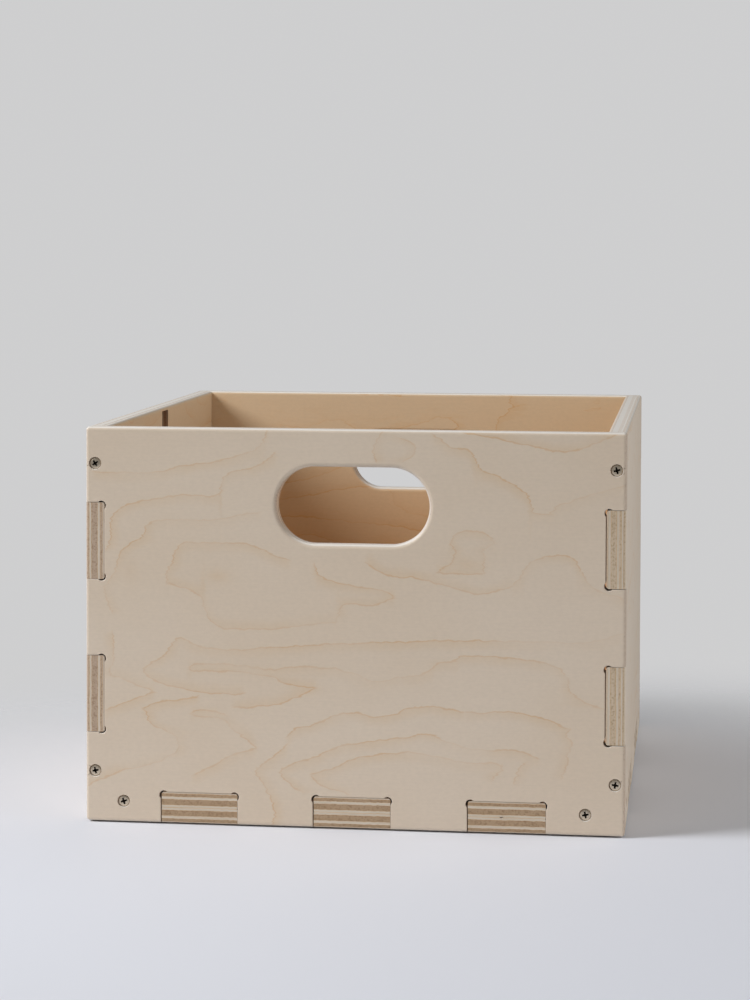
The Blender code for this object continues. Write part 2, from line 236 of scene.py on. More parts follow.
# %% [markdown]
# A joiner cuts a board out of a sheet, and this lesson does the same: a plain block is trimmed to the
# rounded outside of the whole crate, then all of its cutters are taken away in one Boolean. One cut
# with many cutters is more reliable than a long chain of cuts, because no later cut has to work on a
# face that is already full of holes.

# %% Cutting boards out of sheets
OVERRUN = 3 * MM  # raw sheets and cutters go this far past the crate's outside
SHARP = math.radians(35)  # steeper corners than this stay crisp


def block(low, high):
    """A box between two corners."""
    low, high = Vector(low), Vector(high)
    bm = bmesh.new()
    bmesh.ops.create_cube(bm, size=1.0)
    bmesh.ops.scale(bm, vec=high - low, verts=bm.verts)
    bmesh.ops.translate(bm, vec=(low + high) / 2, verts=bm.verts)
    return bm


def add_boolean(target, operation, **tool):
    cut = target.modifiers.new(operation.lower(), "BOOLEAN")
    cut.operation = operation
    cut.solver = "EXACT"
    for setting, value in tool.items():
        setattr(cut, setting, value)


def applied(raw, helpers):
    """The mesh that an object's modifiers make. The object and its helpers are used up."""
    graph = bpy.context.evaluated_depsgraph_get()
    mesh = bpy.data.meshes.new_from_object(raw.evaluated_get(graph))
    for helper in (raw, *helpers):
        bpy.data.objects.remove(helper, do_unlink=True)
    return mesh


def carve(name, bm, cutters, inside=None):
    """A mesh from a bmesh that is trimmed to a block and cut with other bmeshes. All are used up."""
    raw = object_from(name + "_raw", bm)
    tools = bpy.data.collections.new(name + "_cutters")
    for cutter in cutters:
        tools.objects.link(object_from(name + "_cutter", cutter))
    helpers = list(tools.objects)
    if inside is not None:
        helpers.append(object_from(name + "_outside", inside))
        add_boolean(raw, "INTERSECT", object=helpers[-1])
    add_boolean(raw, "DIFFERENCE", operand_type="COLLECTION", collection=tools)
    mesh = applied(raw, helpers)
    mesh.name = name
    bpy.data.collections.remove(tools)
    return mesh


def add_piece(name, mesh, node):
    """A finished piece that stands for a frame node. Its shading is smooth, but crisp at corners."""
    mesh.shade_smooth()
    mesh.set_sharp_from_angle(angle=SHARP)
    piece = bpy.data.objects.new(name, mesh)
    bpy.context.scene.collection.objects.link(piece)
    even = piece.modifiers.new("even_shading", "WEIGHTED_NORMAL")
    even.keep_sharp = True
    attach(piece, "root")
    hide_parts(node)
    return piece


print("helpers ready")

# %% [markdown]
# The outside of the real crate was routed after it was screwed together, so one quarter-round runs over
# boards and tenon ends alike. A bevelled box stands for that outside. Each board is trimmed by its own
# copy. Tenon ends stand back by a hair, so the edge of each notch catches the light or throws a thin
# shadow.

# %% Rounded outside
EDGE_ROUND = 2 * MM
EDGE_STEPS = 6
STAND_BACK = 0.25 * MM


def round_edges(bm, edges, radius, steps):
    """Rounds some of a bmesh's edges."""
    bmesh.ops.bevel(
        bm, geom=edges, offset=radius, segments=steps, profile=0.5, affect="EDGES", material=-1
    )


def crate_outside(back_x=0.0, back_y=0.0):
    """The crate's rounded outside, less a hair across and along."""
    back = Vector((back_x, back_y, 0))
    bm = block(CAD_LOW + back, CAD_HIGH - back)
    round_edges(bm, bm.edges, EDGE_ROUND, EDGE_STEPS)
    return bm


print("outside: edges rounded by", EDGE_ROUND / MM, "mm")

# %% [markdown]
# Openings get a routed or sanded lip. Their cutters are lofted through rings: each ring is the
# opening's outline, grown a little near the board's faces, and neighbouring rings are bridged. The
# lip's first chord is carried past the face, so that the cutter crosses the face cleanly and never ends
# in it.

# %% Lofted cutters
def lip(radius, steps):
    """A quarter round as (growth of the opening, depth below the face) pairs, from the outside in."""
    turns = [math.radians(90) * i / steps for i in range(steps + 1)]
    pairs = [(radius * (1 - math.sin(turn)), radius * (1 - math.cos(turn))) for turn in turns]
    past = (2 * pairs[0][0] - pairs[1][0], 2 * pairs[0][1] - pairs[1][1])
    return [(past[0], -OVERRUN), past, *pairs[1:]]


def through(thickness, radius, steps):
    """The lip of one face, then of the other, for a cutter that goes right through a board."""
    near = lip(radius, steps)
    return near + [(growth, thickness - depth) for growth, depth in reversed(near)]


def ring(bm, points):
    """A closed loop of edges."""
    verts = [bm.verts.new(point) for point in points]
    return [bm.edges.new(pair) for pair in zip(verts, verts[1:] + verts[:1])]


def close_loft(bm, rings):
    """Bridges neighbouring rings and fills both ends."""
    for lower, upper in zip(rings, rings[1:]):
        bmesh.ops.bridge_loops(bm, edges=lower + upper)
    for end in (rings[0], rings[-1]):
        bmesh.ops.edgeloop_fill(bm, edges=end)
    bmesh.ops.recalc_face_normals(bm, faces=bm.faces)


def loft(outlines):
    """A solid through closed outlines of points."""
    bm = bmesh.new()
    close_loft(bm, [ring(bm, points) for points in outlines])
    return bm


def moved(bm, place):
    """A bmesh put in its place."""
    bmesh.ops.transform(bm, matrix=place, verts=bm.verts)
    return bm


def seat(origin, inward, into):
    """Axes for a cutter: across the opening, in from the board's edge, and into its outer face."""
    inward, into = Vector(inward), Vector(into)
    across = inward.cross(into)
    return Matrix.Translation(origin) @ Matrix((across, inward, into)).transposed().to_4x4()


print("a lip of 2 mm in 3 steps:", [(round(g / MM, 2), round(d / MM, 2)) for g, d in lip(2 * MM, 3)])

# %% [markdown]
# A round cutter can't leave a square inner corner, so the maker ran it a little past each corner of a
# notch. The half moons that this leaves are the most telling detail of these joints. A notch's outline
# is two such arcs joined by straight runs. The gap to the tenon is set for each side by itself, because
# on the real crate one side is tight and the other shows a dark line.

# %% Notches
RELIEF_R = 2.9 * MM
RELIEF_STEPS = 14
NOTCH_LIP = 0.4 * MM
NOTCH_LIP_STEPS = 3
RELIEF_LIP = 0.3  # a half moon's lip, as a share of the notch's
LEFT_GAPS = (0.05 * MM, 0.25 * MM, 0.2 * MM)  # inner side, under and over the side boards' tenons
RIGHT_GAPS = (0.5 * MM, 0.45 * MM, 0.15 * MM)
BASE_GAPS = (0.12 * MM, 0.5 * MM, 0.1 * MM)  # over, left and right of the base's tenons


def notch_outline(half, depth, radius):
    """Half width, depth and corner radius to an outline that is open at the board's edge."""
    inset = RELIEF_R / math.sqrt(2)
    points = [(half, -OVERRUN)]
    for side, first in ((1, -45), (-1, 45)):
        for i in range(RELIEF_STEPS + 1):
            turn = math.radians(first + 180 * i / RELIEF_STEPS)
            points.append((
                side * (half - inset) + radius * math.cos(turn),
                depth - inset + radius * math.sin(turn),
            ))
    return points + [(-half, -OVERRUN)]


def notch(width, depth, thickness, place):
    """Cutter for a notch with its half moons."""
    outlines = []
    for growth, level in through(thickness, NOTCH_LIP, NOTCH_LIP_STEPS):
        outline = notch_outline(width / 2 + growth, depth + growth, RELIEF_R + growth * RELIEF_LIP)
        outlines.append([(u, v, level) for u, v in outline])
    return moved(loft(outlines), place)


def wall_notches(facing):
    """Notches of the front (facing -1) or back (facing 1) board, for the tenons that come through."""
    face_y = facing * DEPTH / 2
    into = (0, -facing, 0)
    cutters = []
    for side, (inner, under, over) in ((-1, LEFT_GAPS), (1, RIGHT_GAPS)):
        for middle in SIDE_TENON_Z:
            origin = (side * WIDTH / 2, face_y, middle + (over - under) / 2)
            place = seat(origin, (-side, 0, 0), into)
            cutters.append(notch(TENON + under + over, WALL_T + inner, WALL_T, place))
    over, left, right = BASE_GAPS
    for middle in BASE_TENON_X:
        place = seat((middle + (right - left) / 2, face_y, 0), (0, 0, 1), into)
        cutters.append(notch(TENON + left + right, BASE_T + over, WALL_T, place))
    return cutters


print("a wall board has", len(wall_notches(-1)), "notches")

# %% [markdown]
# A hand hole is a stadium: a circle whose two halves are pulled apart. Its edges have a generous round
# on both faces, so it doesn't bite into fingers. The back one is a little lower than the front one.

# %% Hand hole
HOLE_W = 96 * MM
HOLES = {-1: (48.5 * MM, 202.45 * MM), 1: (43 * MM, 199.5 * MM)}  # height and middle, front and back
HOLE_LIP = 3 * MM
HOLE_LIP_STEPS = 6
HOLE_SEGMENTS = 96


def hand_hole(facing):
    """Cutter for the front (-1) or back (1) hand hole."""
    height, middle = HOLES[facing]
    pull = (HOLE_W - height) / 2
    bm = bmesh.new()
    rings = []
    half_step = Matrix.Rotation(math.pi / HOLE_SEGMENTS, 4, "Z")
    for growth, level in through(WALL_T, HOLE_LIP, HOLE_LIP_STEPS):
        flat = Matrix.Translation((0, 0, level)) @ half_step
        circle = bmesh.ops.create_circle(
            bm, segments=HOLE_SEGMENTS, radius=height / 2 + growth, matrix=flat
        )["verts"]
        for way in (-1, 1):
            half = [v for v in circle if v.co.x * way > 0]
            bmesh.ops.translate(bm, verts=half, vec=(way * pull, 0, 0))
        rings.append(list({edge for v in circle for edge in v.link_edges}))
    close_loft(bm, rings)
    return moved(bm, seat((0, facing * DEPTH / 2, middle), (0, 0, 1), (0, -facing, 0)))


print("hand holes", HOLE_W / MM, "mm wide")

# %% [markdown]
# The rim's inner edge is rounded all the way round, over four boards at once, by one flared cutter that
# fills the inside of the crate's mouth.

# %% Rim
RIM_STEPS = 5


def rim_flare():
    """Cutter for the round along the rim's inner edge."""
    outlines = []
    low = (0.0, EDGE_ROUND + OVERRUN)
    for growth, depth in [*lip(EDGE_ROUND, RIM_STEPS), low]:
        x, y = INNER_X + growth, INNER_Y + growth
        corners = ((-x, -y), (x, -y), (x, y), (-x, y))
        outlines.append([(*corner, HEIGHT - depth) for corner in corners])
    return loft(outlines)


print("rim rounded in", RIM_STEPS, "steps")

# %% [markdown]
# Every screw sits in a countersink. Its place and direction come from the frame: the box of its node
# gives the axis, and the head lies at the end nearest the crate's outside. The hole is a half section
# spun round that axis. Its mouth is flared, because a countersink bit goes in a little too far.

# %% Screw places and countersinks
HEAD_R = 3.7 * MM
HEAD_RIM = 0.7 * MM
SHANK_R = 1.75 * MM
SCREW_L = 30 * MM
TIP_L = 5 * MM
HOLE_GAP = 0.06 * MM
MOUTH_SLOPE = 0.3  # how fast the mouth widens above the head
TURN_STEPS = 48
SAME_PLACE = 1e-7
OUTWARD = {"front": (0, -1, 0), "back": (0, 1, 0), "left": (-1, 0, 0), "right": (1, 0, 0)}


def wall_of(screw):
    """The wall that a screw's head is in."""
    return screw.split("_")[1]


def screw_seat(node):
    """Where a screw's head is, with local +Z out of the crate."""
    outward = Vector(OUTWARD[wall_of(node)])
    low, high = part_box(node)
    middle, half = (low + high) / 2, (high - low) / 2
    head = middle + outward * abs(half.dot(outward))
    return Matrix.Translation(head) @ outward.to_track_quat("Z", "Y").to_matrix().to_4x4()


def turned(profile):
    """A solid spun from (radius, height) points that start and end on the axis."""
    bm = bmesh.new()
    verts = [bm.verts.new((radius, 0, height)) for radius, height in profile]
    edges = [bm.edges.new(pair) for pair in zip(verts, verts[1:])]
    bmesh.ops.spin(bm, geom=verts + edges, axis=(0, 0, 1), angle=math.tau, steps=TURN_STEPS, use_merge=True)
    bmesh.ops.remove_doubles(bm, verts=bm.verts, dist=SAME_PLACE)
    bmesh.ops.recalc_face_normals(bm, faces=bm.faces)
    return bm


def countersink(node):
    """Cutter for a screw's hole."""
    head, shank = HEAD_R + HOLE_GAP, SHANK_R + HOLE_GAP
    hole = turned([
        (0, OVERRUN),
        (head + MOUTH_SLOPE * (OVERRUN + HEAD_RIM), OVERRUN),
        (head, -HEAD_RIM),
        (shank, -HEAD_RIM - (HEAD_R - SHANK_R)),
        (shank, TIP_L - SCREW_L),
        (0, -SCREW_L - HOLE_GAP),
    ])
    return moved(hole, screw_seat(node))


SCREWS = sorted(node for node in frame["nodes"] if node.startswith("screw_"))
print(len(SCREWS), "screws")

# %% [markdown]
# Screws this close to a board's edge split the wood a little. Each split is a thin wedge cut into the
# face, between the countersink and the edge. They are placed from the screw's centre, as the real ones
# are.

# %% Splits beside the edge screws
SPLIT_W = 0.65 * MM
SPLIT_DEPTH = 0.9 * MM
SPLIT_TAPER = (0.6, 0.2, 1)  # its bottom's length and width, as shares
SPLITS = {  # from and to, in mm right of and above the screw's centre
    "screw_front_upper_left": [((-3.9, -1.2), (-5.8, -1.9))],
    "screw_front_upper_right": [((3.4, 0.5), (5.5, 2.0)), ((2.4, -2.9), (5.2, -1.4))],
    "screw_front_lower_left": [((-4.4, 2.8), (-2.8, 2.5)), ((-5.2, -3.2), (-2.4, -1.8))],
    "screw_front_lower_right": [((3.2, 2.0), (4.4, 2.7)), ((5.7, -1.6), (6.4, -1.4))],
}


def split(node, start, end):
    """A wedge that is narrow at its bottom, along a line on the front face."""
    seat_point = screw_seat(node).translation
    points = [Vector((seat_point.x + u * MM, -DEPTH / 2, seat_point.z + v * MM)) for u, v in (start, end)]
    run = points[1] - points[0]
    bm = bmesh.new()
    bmesh.ops.create_cube(bm, size=1.0)
    bmesh.ops.scale(bm, vec=(run.length, SPLIT_W, 2 * SPLIT_DEPTH), verts=bm.verts)
    deep = [v for v in bm.verts if v.co.z < 0]
    bmesh.ops.scale(bm, vec=SPLIT_TAPER, verts=deep)
    return moved(bm, seat((points[0] + points[1]) / 2, run.normalized().cross((0, 1, 0)), (0, -1, 0)))


print(sum(len(lines) for lines in SPLITS.values()), "splits")

# %% [markdown]
# The front and back boards are the same sheet: a block with notches, a hand hole, the rim's round and
# countersinks. Only the front one carries the splits, as the only face that can be seen up close.

# %% Front and back boards
def wall_board(name, node, facing):
    low_y, high_y = sorted((facing * INNER_Y, facing * (DEPTH / 2 + OVERRUN)))
    far = WIDTH / 2 + OVERRUN
    sheet = block((-far, low_y, -OVERRUN), (far, high_y, HEIGHT + OVERRUN))
    wall = node.split("_")[0]
    cutters = [*wall_notches(facing), hand_hole(facing), rim_flare()]
    for screw in SCREWS:
        if wall_of(screw) == wall:
            cutters.append(countersink(screw))
            if facing < 0:
                cutters += [split(screw, *line) for line in SPLITS.get(screw, [])]
    return add_piece(name, carve(name, sheet, cutters, crate_outside()), node)


front_board = wall_board("front_board", "front_panel", -1)
back_board = wall_board("back_board", "back_panel", 1)
for board in (front_board, back_board):
    print(board.name, len(board.data.polygons), "faces")

# %% [markdown]
# A side board gets its tenons by losing the waste between them, at both ends. The maker eased the
# tenons' inner corners, so the half moons show a dark gap all the way round them. Cutting the waste
# leaves square corners, so a bevel eases those edges afterwards: they lie in the inner face and run
# along the tenon.

# %% Left and right boards
FIT_GAP = 0.3 * MM
TENON_EASE = 1.5 * MM
EASE_STEPS = 5
GROOVE_W = 20 * MM
GROOVE_DEPTH = 5 * MM
GROOVE_TOP = HEIGHT - 2.5 * MM
GROOVE_SHADE_SLOT = 1  # the second material of a side board, darkened in the groove by painted shade
LONG_GAP = 0.4 * MM
CLOSE, SLACK = 0.02 * MM, 0.1 * MM  # for finding edges and faces by their places
LONG_EDGE = 5 * MM


def between(tenons, length, low, high):
    """Stretches beside and between tenons, from one end of an edge to the other."""
    stops = [low, *(middle + way * length / 2 for middle in tenons for way in (-1, 1)), high]
    return list(zip(stops[0::2], stops[1::2]))


def waste(side):
    """Blocks between and beside a side board's tenons, at both ends."""
    low_x, high_x = sorted((side * (INNER_X - OVERRUN), side * (WIDTH / 2 + 2 * OVERRUN)))
    blocks = []
    for end in (-1, 1):
        low_y, high_y = sorted((end * (INNER_Y - FIT_GAP), end * (DEPTH / 2 + 2 * OVERRUN)))
        for bottom, top in between(SIDE_TENON_Z, TENON, -2 * OVERRUN, HEIGHT + 2 * OVERRUN):
            blocks.append(block((low_x, low_y, bottom), (high_x, high_y, top)))
    return blocks


def ease(mesh, wanted):
    """Rounds the edges that a test picks."""
    bm = bmesh.new()
    bm.from_mesh(mesh)
    picked = [edge for edge in bm.edges if wanted(*(v.co for v in edge.verts))]
    round_edges(bm, picked, TENON_EASE, EASE_STEPS)
    bm.to_mesh(mesh)
    bm.free()
    return len(picked)


def near(value, target):
    return abs(value - target) < CLOSE


def side_board(name, node, side):
    low_x, high_x = sorted((side * INNER_X, side * (WIDTH / 2 + OVERRUN)))
    far = DEPTH / 2 + OVERRUN
    sheet = block((low_x, -far, -OVERRUN), (high_x, far, HEIGHT + OVERRUN))
    cutters = [*waste(side), rim_flare()]
    for middle in LONG_TENON_Y:
        place = seat((side * WIDTH / 2, middle, 0), (0, 0, 1), (-side, 0, 0))
        cutters.append(notch(LONG_TENON + 2 * LONG_GAP, BASE_T + LONG_GAP, WALL_T, place))
    groove_x = sorted((side * (INNER_X - OVERRUN), side * (INNER_X + GROOVE_DEPTH)))
    cutters.append(block((groove_x[0], -GROOVE_W / 2, BASE_T), (groove_x[1], GROOVE_W / 2, GROOVE_TOP)))
    wall = node.split("_")[0]
    for screw in SCREWS:
        on_it = wall_of(screw) == wall
        into_it = screw.endswith(wall) and "_base_" not in screw
        if on_it or into_it:
            cutters.append(countersink(screw))
    mesh = carve(name, sheet, cutters, crate_outside(back_y=STAND_BACK))

    def tenon_corner(a, b):
        along_y = near(a.x, b.x) and near(a.z, b.z) and abs(a.y - b.y) > LONG_EDGE
        at_tenon = any(near(abs(a.z - middle), TENON / 2) for middle in SIDE_TENON_Z)
        return along_y and at_tenon and near(abs(a.x), INNER_X)

    print(name, "eased", ease(mesh, tenon_corner), "tenon corners")
    for face in mesh.polygons:
        x, y, z = abs(face.center.x), abs(face.center.y), face.center.z
        along_groove = y < GROOVE_W / 2 + SLACK and BASE_T < z < HEIGHT - EDGE_ROUND
        if along_groove and INNER_X < x < INNER_X + GROOVE_DEPTH + SLACK:
            face.material_index = GROOVE_SHADE_SLOT
    return add_piece(name, mesh, node)


left_board = side_board("left_board", "left_side_panel", -1)
right_board = side_board("right_board", "right_side_panel", 1)

# %% [markdown]
# The base is cut the same way from thicker plywood, with waste taken from all four edges. Its plywood
# has a few voids in the middle layers, as cheap cores do. Those that come out at a tenon's end are
# small dark holes.

# %% Base board
VOID_DEPTH, VOID_SEGMENTS = 3 * MM, 12
VOID_Z = 9.8 * MM
LONG_VOID_X = 93.9 * MM
LONG_VOID = (2.4 * MM, 0.6 * MM)
END_VOID = (0.9 * MM, 0.8 * MM)


def base_waste():
    """Blocks beside and between the base's tenons, along all four edges."""
    low_z, high_z = -2 * OVERRUN, BASE_T + OVERRUN
    blocks = []
    for tenons, length, shoulder, outer, end, along_x in (
        (BASE_TENON_X, TENON, INNER_Y - FIT_GAP, DEPTH / 2, WIDTH / 2, True),
        (LONG_TENON_Y, LONG_TENON, INNER_X - FIT_GAP, WIDTH / 2, DEPTH / 2, False),
    ):
        for way in (-1, 1):
            near_edge, far_edge = sorted((way * shoulder, way * (outer + 2 * OVERRUN)))
            for first, last in between(tenons, length, -end - 2 * OVERRUN, end + 2 * OVERRUN):
                if along_x:
                    blocks.append(block((first, near_edge, low_z), (last, far_edge, high_z)))
                else:
                    blocks.append(block((near_edge, first, low_z), (far_edge, last, high_z)))
    return blocks


def void(x, size):
    """A small hole in the middle layer, open at the front."""
    bm = bmesh.new()
    bmesh.ops.create_cone(
        bm, cap_ends=True, segments=VOID_SEGMENTS, radius1=0.5, radius2=0.5, depth=2 * VOID_DEPTH
    )
    bmesh.ops.scale(bm, vec=(size[0], size[1], 1), verts=bm.verts)
    return moved(bm, seat((x, -DEPTH / 2, VOID_Z), (0, 0, 1), (0, 1, 0)))


def base_board():
    name = "base_board"
    far_x, far_y = WIDTH / 2 + OVERRUN, DEPTH / 2 + OVERRUN
    sheet = block((-far_x, -far_y, -OVERRUN), (far_x, far_y, BASE_T))
    cutters = base_waste()
    cutters += [countersink(screw) for screw in SCREWS if "_base_" in screw]
    cutters.append(void(LONG_VOID_X, LONG_VOID))
    for middle in BASE_TENON_X:
        cutters += [void(middle + way * TENON / 2, END_VOID) for way in (-1, 1)]
    mesh = carve(name, sheet, cutters, crate_outside(STAND_BACK, STAND_BACK))

    def tenon_corner(a, b):
        at_top = near(a.z, BASE_T) and near(b.z, BASE_T)
        out_y = near(a.x, b.x) and abs(a.y - b.y) > LONG_EDGE
        out_x = near(a.y, b.y) and abs(a.x - b.x) > LONG_EDGE
        at_short = any(near(abs(a.x - middle), TENON / 2) for middle in BASE_TENON_X)
        at_long = any(near(abs(a.y - middle), LONG_TENON / 2) for middle in LONG_TENON_Y)
        return at_top and ((out_y and at_short) or (out_x and at_long))

    print(name, "eased", ease(mesh, tenon_corner), "tenon corners")
    return add_piece(name, mesh, "base_panel")


bottom_board = base_board()

# %% [markdown]
# A wood screw is turned, so its body is a half section spun round its axis. The cross recess is cut
# with two tapered arms and a cone in the middle. The thread is a small wedge swept along a helix by a
# spin that also climbs. One screw is made at the origin, its vertices remember how deep they lie below
# the head and how far from the axis, and copies go to all sixteen places.

# %% Wood screw
RECESS_SPAN = 4.3 * MM
RECESS_ARM = 1.15 * MM
RECESS_DEPTH = 1.8 * MM
RECESS_TAPER = 0.45
RECESS_CONE, CONE_SEGMENTS = (0.5 * MM, 1.7 * MM), 16
DOME = ((0.5, 0.02), (0.68, 0.1), (0.82, 0.24), (0.93, 0.42), (1, 0.62))  # share of HEAD_R, drop in mm
TIP_R = 0.25 * MM
THREAD_PITCH = 1.6 * MM
THREAD_RISE, THREAD_ROOT, THREAD_HALF = 0.28 * MM, 0.2 * MM, 0.35 * MM
THREAD_STEPS = 20
THREAD_L = 20 * MM
THREAD_START = TIP_L - SCREW_L - 1 * MM
CORE_R = 1.3 * MM
OTHER_TURN = 37  # degrees from one unseen screw to the next
CROSS_TURN = {  # degrees, as the front's screws happen to stand
    "screw_front_upper_left": 34, "screw_front_upper_right": 15, "screw_front_lower_left": 14,
    "screw_front_lower_right": -9, "screw_front_base_left": 17, "screw_front_base_right": 12,
}


def tapered_arm(size_x, size_y):
    """One arm of the cross recess, narrower at its bottom."""
    bm = block((-size_x / 2, -size_y / 2, -RECESS_DEPTH), (size_x / 2, size_y / 2, RECESS_DEPTH))
    low = [v for v in bm.verts if v.co.z < 0]
    high = [v for v in bm.verts if v.co.z > 0]
    bmesh.ops.scale(bm, vec=(RECESS_TAPER, RECESS_TAPER, 1), verts=low)
    bmesh.ops.scale(bm, vec=(2 - RECESS_TAPER, 2 - RECESS_TAPER, 1), verts=high)
    return bm


def screw_body():
    body = turned([
        (0, 0),
        *((share * HEAD_R, -drop * MM) for share, drop in DOME),
        (HEAD_R, -HEAD_RIM),
        (CORE_R, -HEAD_RIM - (HEAD_R - CORE_R)),
        (CORE_R, TIP_L - SCREW_L),
        (TIP_R, -SCREW_L),
        (0, -SCREW_L),
    ])
    cone = bmesh.new()
    bottom, top = RECESS_CONE
    bmesh.ops.create_cone(
        cone, cap_ends=True, segments=CONE_SEGMENTS, radius1=bottom, radius2=top, depth=2 * RECESS_DEPTH
    )
    arms = [tapered_arm(RECESS_SPAN, RECESS_ARM), tapered_arm(RECESS_ARM, RECESS_SPAN), cone]
    return carve("screw_body", body, arms)


def screw_thread():
    """A wedge on the shank, swept along a helix."""
    bm = bmesh.new()
    root, crest = CORE_R - THREAD_ROOT, CORE_R + THREAD_RISE
    low, high = THREAD_START - THREAD_HALF, THREAD_START + THREAD_HALF
    wedge = [(root, 0, low), (crest, 0, THREAD_START), (root, 0, high)]
    face = bm.faces.new([bm.verts.new(point) for point in wedge])
    turns = THREAD_L / THREAD_PITCH
    bmesh.ops.spin(
        bm, geom=[face, *face.edges, *face.verts], axis=(0, 0, 1), angle=math.tau * turns,
        steps=round(THREAD_STEPS * turns), dvec=(0, 0, THREAD_PITCH / THREAD_STEPS),
    )
    bmesh.ops.recalc_face_normals(bm, faces=bm.faces)
    return bm


def threaded_screw():
    raw = bpy.data.objects.new("screw_raw", screw_body())
    bpy.context.scene.collection.objects.link(raw)
    thread = object_from("screw_thread", screw_thread())
    add_boolean(raw, "UNION", object=thread)
    mesh = applied(raw, [thread])
    for name, values in (
        ("below_head", [-v.co.z / MM for v in mesh.vertices]),
        ("from_axis", [v.co.xy.length / MM for v in mesh.vertices]),
    ):
        mesh.attributes.new(name, "FLOAT", "POINT").data.foreach_set("value", values)
    return mesh


screw_mesh = threaded_screw()
screws = []
for i, node in enumerate(SCREWS):
    copy = screw_mesh.copy()
    turn = Matrix.Rotation(math.radians(CROSS_TURN.get(node, OTHER_TURN * i)), 4, "Z")
    copy.transform(screw_seat(node) @ turn)
    screws.append(add_piece(node.replace("screw_", "wood_screw_"), copy, node))
print(len(screws), "screws of", len(screw_mesh.polygons), "faces")

# %% [markdown]
# Finishes come next. A node tree in code is easier to read with a few short helpers: one sets or links
# a socket, and the others add a step and hand back its output.

# %% Node helpers
def feed(tree, value, socket):
    """Links an output to a socket, or sets a plain value."""
    if isinstance(value, bpy.types.NodeSocket):
        tree.links.new(value, socket)
    else:
        socket.default_value = value


def math_step(tree, kind, operation, values):
    step = tree.nodes.new(kind)
    step.operation = operation
    for value, socket in zip(values, step.inputs):
        feed(tree, value, socket)
    return step.outputs


def calc(tree, operation, *values):
    """A Math step."""
    return math_step(tree, "ShaderNodeMath", operation, values)[0]


def vector_calc(tree, operation, *values):
    """A Vector Math step, with a vector and a value as its outputs."""
    return math_step(tree, "ShaderNodeVectorMath", operation, values)


def noise(tree, vector, pattern, seed):
    """Noise from 0 to 1. A pattern is the features in a metre along each axis, and the detail."""
    scale, detail = pattern
    step = tree.nodes.new("ShaderNodeTexNoise")
    step.noise_dimensions = "4D"
    feed(tree, vector_calc(tree, "MULTIPLY", vector, scale)[0], step.inputs["Vector"])
    feed(tree, seed, step.inputs["W"])
    step.inputs["Scale"].default_value = 1.0
    step.inputs["Detail"].default_value = detail
    return step.outputs["Fac"]


def remap(tree, value, low, high, to_low=0.0, to_high=1.0):
    """A soft ramp from one range to another."""
    step = tree.nodes.new("ShaderNodeMapRange")
    step.interpolation_type = "SMOOTHSTEP"
    for number, socket in zip((value, low, high, to_low, to_high), step.inputs):
        feed(tree, number, socket)
    return step.outputs[0]


def mix(tree, factor, first, second, blend="MIX"):
    """Mixes two colours."""
    step = tree.nodes.new("ShaderNodeMix")
    step.data_type = "RGBA"
    step.blend_type = blend
    feed(tree, factor, step.inputs[0])
    for value, socket in ((first, step.inputs[6]), (second, step.inputs[7])):
        feed(tree, value if isinstance(value, bpy.types.NodeSocket) else (*value, 1.0), socket)
    return step.outputs[2]


def shifted(tree, vector, along, across=0.0):
    """A place on the sheet, moved along and across the grain."""
    move = tree.nodes.new("ShaderNodeCombineXYZ")
    feed(tree, along, move.inputs["X"])
    feed(tree, across, move.inputs["Y"])
    return vector_calc(tree, "ADD", vector, move.outputs[0])[0]


def split_axes(tree, vector):
    """The outputs X, Y and Z of a vector."""
    step = tree.nodes.new("ShaderNodeSeparateXYZ")
    feed(tree, vector, step.inputs[0])
    return step.outputs


def new_group(name, inputs, outputs):
    """A group with its sockets, what it is given and what it puts out."""
    group = bpy.data.node_groups.new(name, "ShaderNodeTree")
    for way, sockets in (("INPUT", inputs), ("OUTPUT", outputs)):
        for label, kind in sockets:
            group.interface.new_socket(name=label, in_out=way, socket_type="NodeSocket" + kind)
    given, out = group.nodes.new("NodeGroupInput"), group.nodes.new("NodeGroupOutput")
    return group, given.outputs, out.inputs


def add_bump(tree, height, strength, distance, shader):
    step = tree.nodes.new("ShaderNodeBump")
    step.inputs["Strength"].default_value = strength
    step.inputs["Distance"].default_value = distance
    tree.links.new(height, step.inputs["Height"])
    tree.links.new(step.outputs[0], shader.inputs["Normal"])


def use_group(tree, group, **values):
    step = tree.nodes.new("ShaderNodeGroup")
    step.node_tree = group
    for label, value in values.items():
        feed(tree, value, step.inputs[label])
    return step.outputs


print("node helpers ready")

# %% [markdown]
# Face veneer is peeled off a turning log like paper off a roll, so the growth rings are cut at a slant
# and show as contour lines on a map: long meanders along the grain, with islands. A noise stands for
# the height of that map, and a slow tilt keeps the lines running along the grain. The map is read three
# times, a small step apart: the differences give its slope, and the height above the last whole ring
# divided by the slope is a true distance. So a line is equally thin on steep and on gentle land.

# %% Growth rings of any board
RINGS_ACROSS = 27.0  # rings in each metre across the grain, before they meander
MEANDER, MEANDERS = 9.0, ((6.0, 11.0, 0), 1.2)  # height in rings, and the noise's pattern
RIPPLE, RIPPLES = 0.75, ((28, 75, 0), 2.5)
LEAST_SLOPE = 4.0  # keeps lines from breaking off on flat land
STEP = 1 * MM
LINE_HALF, LINE_CORE = 0.65 * MM, 0.25  # half a line's width, and the share of it that is full
BLOOM = 8 * MM  # the soft tint on one side of a line
PATCHES, PATCH_RANGE = ((18, 45, 0), 2.5), (0.32, 0.64)
PATCH_SEED = 7.3  # added to the seed, so that patches don't follow the rings
FADED = 0.2  # what is left of a line where it fades
FIGURE_SOCKETS = [("Sheet", "Vector"), ("Seed", "Float")], [("Line", "Float"), ("Bloom", "Float")]


